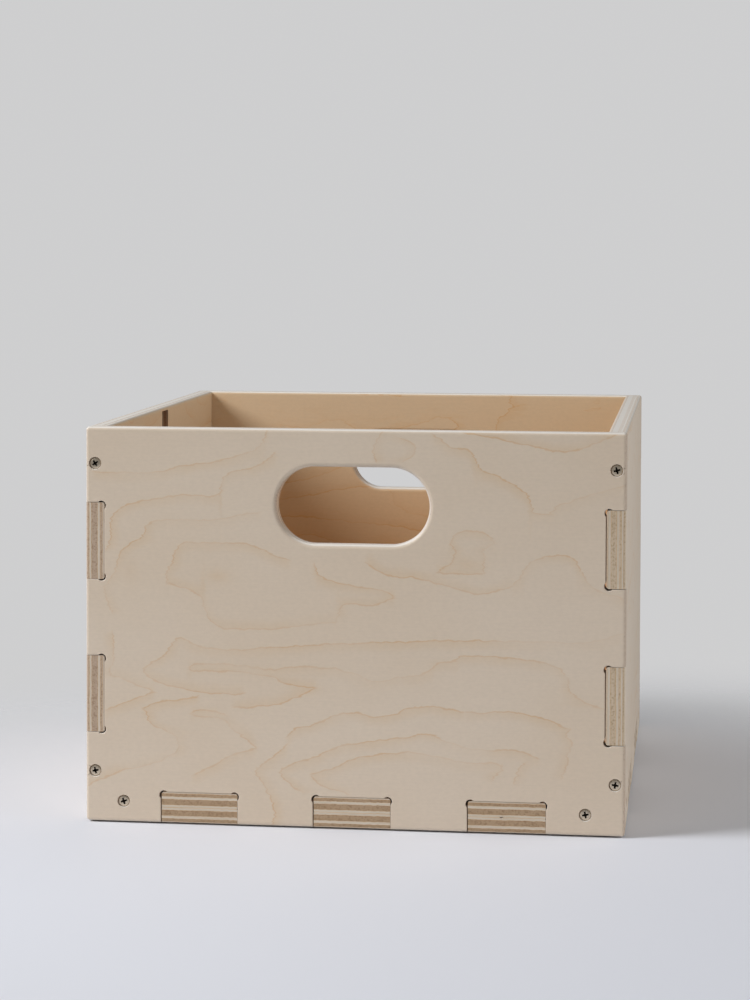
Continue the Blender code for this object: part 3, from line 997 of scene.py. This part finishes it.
def patches(tree, sheet, seed):
    """Where lines are strong and where they fade."""
    cloud = noise(tree, sheet, PATCHES, calc(tree, "ADD", seed, PATCH_SEED))
    return remap(tree, cloud, *PATCH_RANGE, FADED, 1.0)


def ring_height(tree, sheet, seed):
    """The map's height, counted in rings."""
    land = calc(tree, "MULTIPLY", noise(tree, sheet, MEANDERS, seed), MEANDER)
    land = calc(tree, "MULTIPLY_ADD", noise(tree, sheet, RIPPLES, seed), RIPPLE, land)
    return calc(tree, "MULTIPLY_ADD", split_axes(tree, sheet)["Y"], RINGS_ACROSS, land)


def any_figure():
    group, given, out = new_group("ring_figure", *FIGURE_SOCKETS)
    sheet, seed = given["Sheet"], given["Seed"]
    places = (sheet, shifted(group, sheet, STEP), shifted(group, sheet, 0.0, STEP))
    here, along, across = (ring_height(group, place, seed) for place in places)
    rises = [calc(group, "SUBTRACT", further, here) for further in (along, across)]
    squares = [calc(group, "MULTIPLY", rise, rise) for rise in rises]
    slope = calc(group, "DIVIDE", calc(group, "SQRT", calc(group, "ADD", *squares)), STEP)
    slope = calc(group, "MAXIMUM", slope, LEAST_SLOPE)
    past = calc(group, "FRACT", here)
    behind = calc(group, "DIVIDE", past, slope)
    ahead = calc(group, "DIVIDE", calc(group, "SUBTRACT", 1.0, past), slope)
    line = remap(group, calc(group, "MINIMUM", behind, ahead), LINE_CORE * LINE_HALF, LINE_HALF, 1.0, 0.0)
    strong = patches(group, sheet, seed)
    feed(group, calc(group, "MULTIPLY", line, strong), out["Line"])
    feed(group, calc(group, "MULTIPLY", remap(group, behind, 0.0, BLOOM, 1.0, 0.0), strong), out["Bloom"])
    return group


ANY_FIGURE = any_figure()
print("group", ANY_FIGURE.name, len(ANY_FIGURE.nodes), "nodes")

# %% [markdown]
# No two veneers are alike, and the front's figure is what this crate is known by. So its main rings are
# drawn as a few points each that a Float Curve node joins smoothly. Most rings lie along the
# grain and have one height at each place along it. Those that climb have one place at each height, so
# the same code draws them with the axes swapped. The points are in mm from the middle of the board and
# from the floor. A renderer can hold only so many values of one material at a time, so each ring waits
# for the rings before it.

# %% Rings of the front board
LYING_RINGS = (  # tinted side (1 above, -1 below), then places along the grain and heights
    (-1, ((-165, 222), (-131, 221), (-109, 226), (-90, 229), (-69, 234), (-60, 238), (-54, 249))),
    (-1, ((-148, 199), (-140, 202), (-120, 206), (-104, 208), (-90, 207), (-84, 209), (-82, 219),
          (-60, 227), (-48, 235))),
    (-1, ((-131, 188), (-126, 191), (-118, 192), (-95, 192), (-74, 195), (-58, 198))),
    (-1, ((-113, 172), (-108, 177), (-100, 178), (-79, 178), (-61, 176), (-50, 171), (-40, 168))),
    (1, ((-118, 152), (-104, 148), (-96, 144), (-92, 132), (-86, 126), (-77, 124), (-60, 124),
         (-20, 129), (-10, 130))),
    (1, ((-10, 130), (-7, 139), (-4, 141), (12, 141), (26, 146))),
    (-1, ((-24, 165), (-19, 158), (-8, 154), (6, 152), (19, 150), (26, 146))),
    (1, ((9, 167), (15, 163), (21, 160), (41, 158), (59, 154), (69, 151), (79, 149), (87, 150),
         (100, 155))),
    (-1, ((100, 155), (105, 160), (108, 166), (114, 171), (127, 174), (138, 172), (142, 164),
          (149, 155), (170, 147))),
    (-1, ((61, 180), (66, 187), (74, 188), (82, 187), (89, 181))),
    (1, ((53, 162), (70, 161), (82, 162))),
    (-1, ((50, 248), (56, 244), (62, 240), (73, 238), (80, 227), (93, 221), (102, 216), (110, 210),
          (113, 200), (124, 199))),
    (-1, ((122, 199), (129, 205), (140, 209), (159, 215), (170, 218))),
    (1, ((66, 250), (90, 246), (112, 241), (129, 238), (138, 239), (151, 244), (165, 250))),
    (-1, ((-113, 116), (-110, 118), (-105, 116), (-99, 113), (-74, 111), (-50, 113), (10, 117),
          (90, 120), (142, 120), (170, 127))),
    (1, ((-132, 94), (-120, 88), (-106, 85), (-90, 83), (-69, 83))),
    (1, ((-153, 93), (-140, 88), (-126, 83))),
    (-1, ((-160, 70), (-147, 75), (-126, 83))),
    (-1, ((-133, 72), (-125, 76), (-109, 79), (-98, 81))),
    (1, ((-169, 22), (-160, 27), (-145, 33), (-128, 37), (-118, 41))),
    (-1, ((-104, 98), (-101, 101), (-90, 102), (-71, 101), (-50, 99), (-36, 101), (-9, 100), (3, 97),
          (16, 93), (30, 96))),
    (-1, ((30, 96), (43, 98), (49, 101), (53, 105), (64, 107), (68, 110), (90, 110), (118, 107),
          (129, 104), (134, 98))),
    (1, ((-104, 98), (-101, 97), (-80, 97), (-61, 96), (-50, 94), (-44, 91), (-23, 88))),
    (1, ((-76, 74), (-55, 76), (-44, 78), (-35, 82), (-23, 88))),
    (-1, ((-102, 70), (-99, 72), (-93, 72), (-85, 71), (-79, 69))),
    (1, ((-102, 69), (-98, 68), (-90, 68), (-83, 67), (-76, 61), (-69, 56), (-61, 49))),
    (-1, ((-101, 31), (-87, 38), (-79, 43), (-61, 49))),
    (-1, ((-41, 57), (-37, 61), (-25, 65), (-12, 70), (0, 73), (16, 71), (24, 72), (35, 76),
          (50, 78), (71, 75))),
    (-1, ((71, 75), (82, 75), (95, 76), (112, 74), (129, 69), (135, 66))),
    (-1, ((-60, 36), (-50, 44), (-41, 52))),
    (-1, ((-45, 36), (-36, 40), (-27, 43), (-9, 51), (11, 55), (30, 58), (49, 61), (60, 56),
          (82, 52), (101, 52), (117, 47))),
    (-1, ((-26, 33), (-12, 38), (2, 44), (16, 47), (35, 49), (52, 47), (69, 44), (80, 43), (88, 44),
          (94, 42))),
    (1, ((-26, 32), (-19, 27), (-1, 21))),
)
CLIMBING_RINGS = (  # tinted side (1 right, -1 left), then heights and places along the grain
    (1, ((172, -157), (180, -154), (190, -154), (196, -151), (199, -148))),
    (1, ((133, -153), (140, -156), (148, -158), (153, -155), (159, -151), (170, -148), (176, -142),
         (181, -134), (188, -131))),
    (1, ((152, -118), (158, -118), (166, -114), (172, -113))),
    (-1, ((162, 82), (167, 82), (172, 83), (175, 81), (179, 86), (182, 89))),
    (1, ((162, 53), (165, 56), (168, 62), (172, 63), (175, 65), (178, 62), (181, 61))),
    (1, ((230, 15), (236, 13), (242, 14), (250, 19))),
    (-1, ((231, 32), (235, 38), (240, 39), (244, 34), (246, 28))),
    (1, ((93, -130), (96, -133), (101, -128), (108, -118), (113, -115), (117, -112))),
    (-1, ((92, -152), (96, -155), (100, -153), (110, -152), (120, -153))),
    (1, ((41, -118), (46, -112), (51, -110), (55, -112), (60, -122), (64, -129), (68, -130),
         (72, -133))),
    (1, ((0, -51), (9, -49), (16, -51), (24, -55), (30, -59), (36, -61))),
    (-1, ((35, 131), (44, 134), (51, 135), (57, 137), (62, 134), (66, 136))),
    (1, ((22, -32), (29, -42), (33, -45), (37, -45))),
    (-1, ((33, 88), (36, 90), (39, 93), (43, 94))),
    (1, ((31, 101), (36, 103), (41, 105), (45, 109))),
    (-1, ((80, 155), (84, 143), (90, 136), (98, 134))),
)
TAN_SPOTS = (  # middle and reach, along the grain and up
    ((-85, 157), (7, 4)), ((-7, 136), (3, 5)), ((53, 104), (5, 3)),
    ((-29, 87), (9, 3)), ((-142, 157), (5, 8)), ((72, 168), (12, 6)),
)
RING_END = 2 * MM  # over this length on each side of its end a ring fades out
NO_DEPTH = 1000  # so long a reach that depth in the sheet has no effect
WAIT = 1e-9  # too little of the rings so far to be seen, but enough to wait for them


def hill(tree, sheet, middle, reach):
    """A soft spot. Lengths are in mm."""
    place = tree.nodes.new("ShaderNodeMapping")
    place.vector_type = "TEXTURE"
    place.inputs["Location"].default_value = (middle[0] * MM, middle[1] * MM, 0)
    place.inputs["Scale"].default_value = (reach[0] * MM, reach[1] * MM, NO_DEPTH)
    tree.links.new(sheet, place.inputs["Vector"])
    square = vector_calc(tree, "DOT_PRODUCT", place.outputs[0], place.outputs[0])["Value"]
    return calc(tree, "EXPONENT", calc(tree, "MULTIPLY", square, -1.0))


def ring_curve(tree, share, places):
    """A smooth curve through places, as shares of the board."""
    step = tree.nodes.new("ShaderNodeFloatCurve")
    knots = step.mapping.curves[0].points
    while len(knots) < len(places):
        knots.new(1.0, 1.0)
    for knot, place in zip(knots, places):
        knot.location = place
        knot.handle_type = "AUTO_CLAMPED"
    step.mapping.update()
    feed(tree, share, step.inputs["Value"])
    return step.outputs[0]


def drawn_ring(tree, run, rise, run_range, rise_range, side, points):
    """Line and tint of one ring. A range is where the board starts and how far it reaches."""
    (run_low, run_span), (rise_low, rise_span) = run_range, rise_range
    places = [((a * MM - run_low) / run_span, (b * MM - rise_low) / rise_span) for a, b in points]
    here = ring_curve(tree, run, places)
    further = ring_curve(tree, calc(tree, "ADD", run, STEP / run_span), places)
    climb = calc(tree, "MULTIPLY", calc(tree, "SUBTRACT", further, here), rise_span / STEP)
    tight = calc(tree, "INVERSE_SQRT", calc(tree, "MULTIPLY_ADD", climb, climb, 1.0))
    off = calc(tree, "MULTIPLY", calc(tree, "SUBTRACT", rise, here), tight)
    middle, half = (places[-1][0] + places[0][0]) / 2, (places[-1][0] - places[0][0]) / 2
    beyond = calc(tree, "ABSOLUTE", calc(tree, "SUBTRACT", run, middle))
    within = remap(tree, beyond, half - RING_END / run_span, half + RING_END / run_span, 1.0, 0.0)
    thin, soft = LINE_HALF / rise_span, BLOOM / rise_span
    line = remap(tree, calc(tree, "ABSOLUTE", off), LINE_CORE * thin, thin, 1.0, 0.0)
    tinted = calc(tree, "MULTIPLY", off, side)
    start, fade = remap(tree, tinted, -thin, thin), remap(tree, tinted, 0.0, soft, 1.0, 0.0)
    bloom = calc(tree, "MULTIPLY", start, fade)
    return calc(tree, "MULTIPLY", line, within), calc(tree, "MULTIPLY", bloom, within)


def front_figure():
    group, given, out = new_group("front_figure", *FIGURE_SOCKETS)
    sheet, seed = given["Sheet"], given["Seed"]
    parts = split_axes(group, sheet)
    along = calc(group, "MULTIPLY_ADD", parts["X"], 1 / WIDTH, 0.5)
    up = calc(group, "DIVIDE", parts["Y"], HEIGHT)
    along_range, up_range = (-WIDTH / 2, WIDTH), (0.0, HEIGHT)
    lying, climbing = (along, up, along_range, up_range), (up, along, up_range, along_range)
    line, bloom = 0.0, 0.0
    for (run, *way), rings in ((lying, LYING_RINGS), (climbing, CLIMBING_RINGS)):
        for facts in rings:
            waiting = calc(group, "MULTIPLY_ADD", line, WAIT, run)
            one_line, one_bloom = drawn_ring(group, waiting, *way, *facts)
            line = calc(group, "MAXIMUM", line, one_line)
            bloom = calc(group, "MAXIMUM", bloom, one_bloom)
    for spot in TAN_SPOTS:
        bloom = calc(group, "MAXIMUM", bloom, hill(group, sheet, *spot))
    strong = patches(group, sheet, seed)
    feed(group, calc(group, "MULTIPLY", line, strong), out["Line"])
    feed(group, calc(group, "MULTIPLY", bloom, strong), out["Bloom"])
    return group


FRONT_FIGURE = front_figure()
print("group", FRONT_FIGURE.name, len(LYING_RINGS + CLIMBING_RINGS), "rings")

# %% [markdown]
# All wood here shares a second effect: fine fibres drawn out along the grain, the tiny pores that an
# end cut shows, and two slower noises for blotches and for a mottled sheen.

# %% Fibres and pores
FIBRE_PATTERNS = {
    "Fibre": ((30, 1100, 1100), 3.0),
    "Pore": ((900, 900, 900), 3.0),
    "Blotch": ((7, 11, 0), 3.0),
    "Mottle": ((320, 600, 320), 4.0),
}
PORE_RANGE = (0.46, 0.68)


def fibres():
    outputs = [(label, "Float") for label in FIBRE_PATTERNS]
    group, given, out = new_group("fibres", FIGURE_SOCKETS[0], outputs)
    for label, pattern in FIBRE_PATTERNS.items():
        value = noise(group, given["Sheet"], pattern, given["Seed"])
        if label == "Pore":
            value = remap(group, value, *PORE_RANGE)
        feed(group, value, out[label])
    return group


FIBRES = fibres()
print("group", FIBRES.name, len(FIBRES.nodes), "nodes")

# %% [markdown]
# Plywood is a stack of plies whose grain turns a quarter at each layer. The finish is a solid one: it
# knows how deep in the sheet a point lies, so a round edge, a tenon's end or a hand hole shows the
# right plies by itself. Where a ply is cut across its fibres it turns brown and porous. Where it is cut
# along them it stays pale. Comparing the surface's direction with each ply's fibres tells which of the
# two it is. Rims and rounded edges were sanded after assembly, so they are paler. On top of that, edges
# that face left, towards the window, are painted lighter than those that face right, and cut faces that
# look up get a painted sheen. The inside was oiled, which makes it warmer, and lower down it is painted
# browner and darker as shade, for the dimmer light deep in the crate.

# %% Plywood finish
# Each ply is its thickness in mm and the turn of its grain: 0 along the face's grain, 1 across it,
# between for a ply that shows some of both.
WALL_PLIES = ((2.4, 0), (1.8, 1), (3.6, 0), (1.8, 1), (2.4, 0))
# From the outer face.
LEFT_PLIES = ((2.1, 0), (1.55, 1), (3.85, 0), (1.8, 1), (1.2, 0), (1.5, 0.5))
# From the inner face.
RIGHT_PLIES = ((0.7, 0.45), (1.9, 1), (3.4, 0.1), (2.0, 0.6), (1.0, 0.2), (1.4, 1), (1.6, 0))
HALF_BASE = ((1.0, 0.42), (1.7, 1), (1.9, 0), (3.4, 1), (1.75, 0))
BASE_PLIES = HALF_BASE + HALF_BASE[::-1]
PLY_WANDER, WANDERS = 1.0 * MM, ((330, 330, 0), 4.0)  # how far borders of plies stray, and the pattern
GLUE = 0.35  # mm
GLUE_TINT = (0.97, 0.80, 0.60)
FACE_PALE, FACE_WARM = (0.743, 0.62, 0.485), (0.728, 0.597, 0.455)
# The inside's oil tone high up. Lower down it is painted browner and darker as shade, for the dimmer light
# deep in the crate.
INSIDE_HIGH, SHADED_INSIDE_LOW = (0.955, 0.865, 0.715), (0.97, 0.79, 0.585)
INSIDE_SHADE_RISE = (0.14, 0.225)  # the heights between which one passes into the other
LINE_TINT = (0.95, 0.83, 0.69)
BLOOM_TINT = (0.982, 0.935, 0.87)
TEAR, TEARS = 3.0 * MM, ((25, 600, 0), 2.0)  # how far fibres tear a ring along the grain
SWAY, SWAYS = 2.2 * MM, ((130, 160, 0), 4.0)  # how far they shift it across
LONG_CUT = (0.70, 0.61, 0.495)
LEFT_END, RIGHT_END, BASE_END = (0.53, 0.40, 0.295), (0.66, 0.53, 0.38), (0.465, 0.325, 0.20)
LAYER_TINT, LAYERS = (0.90, 0.86, 0.80), ((45, 45, 1500), 2.0)
PORE_TINT = (0.74, 0.68, 0.61)
# The pale colour of sanded edges. It is also painted lighter on edges that face the window.
SANDED_AND_LIT = (0.82, 0.77, 0.695)
LEFT_SANDING_AND_LIGHT, RIGHT_SANDING_AND_SHADE, FLAT_SANDING = 1.15, 0.25, 0.3  # by which way an edge faces, painted lighter facing left towards the window and darker facing right, and on a flat end
# Cut faces that look up are painted pale: they are sanded, with a painted sheen of the bright room on top.
LIT_RIM_LONG, LIT_RIM_END, RIM_SANDING_AND_SHEEN = (0.96, 0.91, 0.83), (0.76, 0.68, 0.59), 0.8
FIBRE_BUMP = (0.2, 0.06 * MM)  # strength and depth
STREAKS = (0.975, 1.025)  # the darkest and the brightest fibres
WOOD_ROUGHNESS = (0.4, 0.6)  # along the fibres and at their ends
MOTTLE = 2.0  # how much stronger mottles are than fibres
# Where ramps start and end.
NOISE_RANGE, FINE_RANGE = (0.3, 0.7), (0.9, 2.1)
END_RANGE, FACE_RANGE = (0.25, 0.85), (0.55, 0.95)  # how squarely fibres, or the face, look out
OIL_AND_SHADE_RANGE = (0.03, 0.08)  # depth of the oil tone and painted shade, as a share of the sheet
LIT_SIDE_RANGE, ROUND_RANGE, UP_RANGE = (-0.35, 0.35), (0.05, 0.35), (0.4, 0.9)  # for sanding with painted light by side, for rounding, and for the painted sheen on faces that look up, by direction
# Painted shade for the groove, which lies in shadow.
GROOVE_SHADE = (0.62, 0.53, 0.46)
BARE = (1.0, 1.0, 1.0)


def add_ramp(tree, share, stops):
    """A ramp with hard steps. Each stop is (where it starts, value)."""
    step = tree.nodes.new("ShaderNodeValToRGB")
    step.color_ramp.interpolation = "CONSTANT"
    band = step.color_ramp.elements
    while len(band) < len(stops):
        band.new(1.0)
    for element, (start, value) in zip(band, stops):
        element.position = start
        element.color = (value, value, value, 1.0)
    feed(tree, share, step.inputs[0])
    return step.outputs["Color"]


def ply_stops(plies):
    """Steps of the grain's turn, and of the glue lines, from one face to the other."""
    total = sum(ply for ply, turn in plies)
    depth, grain, glue = 0.0, [], [(0.0, 0.0)]
    for i, (ply, turn) in enumerate(plies):
        grain.append((depth / total, turn))
        depth += ply
        if i + 1 < len(plies):
            glue += [((depth - GLUE / 2) / total, 1.0), ((depth + GLUE / 2) / total, 0.0)]
    return grain, glue


def plywood(
    name, figure, axes, offset, thickness, inside, plies, end_cut, sanded_and_lit, seed, shade_tint=BARE
):
    """Plywood whose sheet axes are along the face grain, across it, and through the sheet.

    The inside of the crate is at the start (0) or at the end (1) of the third axis.
    """
    material, tree, shader = new_material(name)
    turn = Matrix(axes).to_euler()

    place = tree.nodes.new("ShaderNodeMapping")
    place.inputs["Location"].default_value = (0, 0, offset)
    place.inputs["Rotation"].default_value = turn
    spot = tree.nodes.new("ShaderNodeTexCoord").outputs["Object"]
    tree.links.new(spot, place.inputs["Vector"])
    sheet = place.outputs[0]
    facing = tree.nodes.new("ShaderNodeMapping")
    facing.vector_type = "VECTOR"
    facing.inputs["Rotation"].default_value = turn
    normal = tree.nodes.new("ShaderNodeNewGeometry").outputs["Normal"]
    tree.links.new(normal, facing.inputs["Vector"])
    along, across, out = (calc(tree, "ABSOLUTE", part) for part in split_axes(tree, facing.outputs[0]))

    wander = calc(tree, "SUBTRACT", noise(tree, sheet, WANDERS, seed), 0.5)
    level = calc(tree, "MULTIPLY_ADD", wander, PLY_WANDER, split_axes(tree, sheet)["Z"])
    share = calc(tree, "DIVIDE", level, thickness)
    grain_stops, glue_stops = ply_stops(plies)
    turned_grain = add_ramp(tree, share, grain_stops)
    glue = add_ramp(tree, share, glue_stops)

    endwise = tree.nodes.new("ShaderNodeMix")
    for value, socket in zip((turned_grain, along, across), (0, 2, 3)):
        feed(tree, value, endwise.inputs[socket])
    endwise = remap(tree, endwise.outputs[0], *END_RANGE)
    faceness = remap(tree, out, *FACE_RANGE)
    from_inside = calc(tree, "ABSOLUTE", calc(tree, "SUBTRACT", share, inside))
    indoors = remap(tree, from_inside, *OIL_AND_SHADE_RANGE, 1.0, 0.0)

    tear = calc(tree, "SUBTRACT", noise(tree, sheet, TEARS, seed), 0.5)
    sway = calc(tree, "SUBTRACT", noise(tree, sheet, SWAYS, seed), 0.5)
    tear, sway = calc(tree, "MULTIPLY", tear, 2 * TEAR), calc(tree, "MULTIPLY", sway, 2 * SWAY)
    torn = shifted(tree, sheet, tear, sway)
    lines = use_group(tree, figure, Sheet=torn, Seed=seed)
    grain = use_group(tree, FIBRES, Sheet=sheet, Seed=seed)
    face = mix(tree, remap(tree, grain["Blotch"], *NOISE_RANGE), FACE_PALE, FACE_WARM)
    face = mix(tree, lines["Bloom"], face, BLOOM_TINT, "MULTIPLY")
    face = mix(tree, lines["Line"], face, LINE_TINT, "MULTIPLY")
    edge = mix(tree, faceness, LONG_CUT, face)
    # Painted shade: the inside gets browner and darker lower down.
    oil_and_shade = mix(tree, remap(tree, split_axes(tree, spot)["Z"], *INSIDE_SHADE_RISE), SHADED_INSIDE_LOW, INSIDE_HIGH)
    edge = mix(tree, calc(tree, "MULTIPLY", indoors, faceness), edge, oil_and_shade, "MULTIPLY")
    ends = mix(tree, grain["Pore"], end_cut, tuple(c * t for c, t in zip(end_cut, PORE_TINT)))
    wood = mix(tree, endwise, edge, ends)
    fine = calc(tree, "MULTIPLY_ADD", grain["Mottle"], MOTTLE, grain["Fibre"])
    streak = remap(tree, fine, *FINE_RANGE, *STREAKS)
    cut = calc(tree, "SUBTRACT", 1.0, faceness)
    wood = mix(tree, calc(tree, "MULTIPLY", cut, glue), wood, GLUE_TINT, "MULTIPLY")
    layer = remap(tree, noise(tree, sheet, LAYERS, seed), *NOISE_RANGE)
    wood = mix(tree, calc(tree, "MULTIPLY", cut, layer), wood, LAYER_TINT, "MULTIPLY")
    # Painted light: edges that face left, towards the window, are painted paler than those that face right,
    # on top of the sanding.
    sides = LEFT_SANDING_AND_LIGHT * sanded_and_lit, RIGHT_SANDING_AND_SHADE * sanded_and_lit
    window_light = remap(tree, split_axes(tree, normal)["X"], *LIT_SIDE_RANGE, *sides)
    rounding = calc(tree, "MULTIPLY", cut, remap(tree, out, *ROUND_RANGE, FLAT_SANDING, 1.0))
    wood = mix(tree, calc(tree, "MULTIPLY", rounding, window_light), wood, SANDED_AND_LIT)
    # Painted sheen: cut faces that look up are painted paler.
    sheen_from_above = remap(tree, split_axes(tree, normal)["Z"], *UP_RANGE, 0.0, RIM_SANDING_AND_SHEEN)
    lit_rim = mix(tree, endwise, LIT_RIM_LONG, LIT_RIM_END)
    wood = mix(tree, calc(tree, "MULTIPLY", cut, sheen_from_above), wood, lit_rim)
    # A painted shade tint, where one is given.
    if shade_tint != BARE:
        wood = mix(tree, 1.0, wood, shade_tint, "MULTIPLY")
    shade_step = tree.nodes.new("ShaderNodeVectorMath")
    shade_step.operation = "SCALE"
    tree.links.new(wood, shade_step.inputs[0])
    tree.links.new(streak, shade_step.inputs["Scale"])
    tree.links.new(shade_step.outputs[0], shader.inputs["Base Color"])

    tree.links.new(remap(tree, endwise, 0.0, 1.0, *WOOD_ROUGHNESS), shader.inputs["Roughness"])
    hollow = calc(tree, "MULTIPLY", grain["Pore"], endwise)
    add_bump(tree, calc(tree, "SUBTRACT", grain["Fibre"], hollow), *FIBRE_BUMP, shader)
    return material


UPRIGHT_WALL = ((1, 0, 0), (0, 0, 1), (0, -1, 0))  # grain along x, across it z
UPRIGHT_SIDE = ((0, 1, 0), (0, 0, 1), (1, 0, 0))  # grain along y, across it z
LYING = ((1, 0, 0), (0, 1, 0), (0, 0, 1))
FINISHES = (  # the last three: colour of its end cuts, share of sanding and painted light on its edges, and seed
    (front_board, FRONT_FIGURE, UPRIGHT_WALL, -INNER_Y, WALL_T, 0, WALL_PLIES, LEFT_END, 0.6, 1.0),
    (back_board, ANY_FIGURE, UPRIGHT_WALL, DEPTH / 2, WALL_T, 1, WALL_PLIES, LEFT_END, 0.6, 2.0),
    (left_board, ANY_FIGURE, UPRIGHT_SIDE, WIDTH / 2, WALL_T, 1, LEFT_PLIES, LEFT_END, 0.0, 3.0),
    (right_board, ANY_FIGURE, UPRIGHT_SIDE, -INNER_X, WALL_T, 0, RIGHT_PLIES, RIGHT_END, 0.0, 4.0),
    (bottom_board, ANY_FIGURE, LYING, 0.0, BASE_T, 1, BASE_PLIES, BASE_END, 0.0, 5.0),
)
for board, *facts in FINISHES:
    board.data.materials.append(plywood(board.name + "_plywood", *facts))
    if board in (left_board, right_board):
        # The groove's copy is darkened by painted shade.
        board.data.materials.append(plywood(board.name + "_groove", *facts, shade_tint=GROOVE_SHADE))
print(len(FINISHES), "plywood finishes")

# %% [markdown]
# The screws are zinc-plated steel that has been driven once: bright on the middle of the head, with
# fine turning marks round it, painted dark along its edge as dust and as the shade where the head meets
# its countersink, and painted almost black down in the recess as shade. The depth below the head and
# the distance from the axis are attributes of each screw's own vertices.

# %% Screw finish
ZINC, DULL_ZINC = (0.72, 0.62, 0.49), (0.55, 0.465, 0.355)
EDGE_DUST_AND_SHADE, RECESS_SHADOW = (0.29, 0.215, 0.14), (0.02, 0.016, 0.012)
EDGE_REACH, RECESS_REACH = (3.1, 3.65), (2.3, 2.6)  # mm from the axis
RECESS_SHADE = (0.08, 0.35)  # mm below the head
MARKS = 38.0  # turning marks, in radians for each mm
MARK_BUMP = (0.15, 0.05 * MM)  # strength and depth
ZINC_ROUGHNESS = (0.2, 0.4)
TARNISH, TARNISH_SEED = ((900, 900, 900), 3.0), 1.0


def attribute(tree, name):
    """A number that the mesh's vertices carry."""
    step = tree.nodes.new("ShaderNodeAttribute")
    step.attribute_name = name
    return step.outputs["Fac"]


def zinc_plate():
    material, tree, shader = new_material("zinc_plate")
    shader.inputs["Metallic"].default_value = 1.0
    place = tree.nodes.new("ShaderNodeTexCoord").outputs["Object"]
    cloud = noise(tree, place, TARNISH, TARNISH_SEED)
    from_axis = attribute(tree, "from_axis")
    plate = mix(tree, cloud, ZINC, DULL_ZINC)
    # Dust and painted shade along the head's edge, where it meets the countersink.
    plate = mix(tree, remap(tree, from_axis, *EDGE_REACH), plate, EDGE_DUST_AND_SHADE)
    # Painted shade down in the cross recess, almost black.
    deep = remap(tree, attribute(tree, "below_head"), *RECESS_SHADE)
    deep = calc(tree, "MULTIPLY", deep, remap(tree, from_axis, *RECESS_REACH, 1.0, 0.0))
    tree.links.new(mix(tree, deep, plate, RECESS_SHADOW), shader.inputs["Base Color"])
    tree.links.new(remap(tree, cloud, *NOISE_RANGE, *ZINC_ROUGHNESS), shader.inputs["Roughness"])
    marks = calc(tree, "SINE", calc(tree, "MULTIPLY", from_axis, MARKS))
    add_bump(tree, marks, *MARK_BUMP, shader)
    return material


zinc = zinc_plate()
for screw in screws:
    screw.data.materials.append(zinc)
print("zinc on", len(screws), "screws")
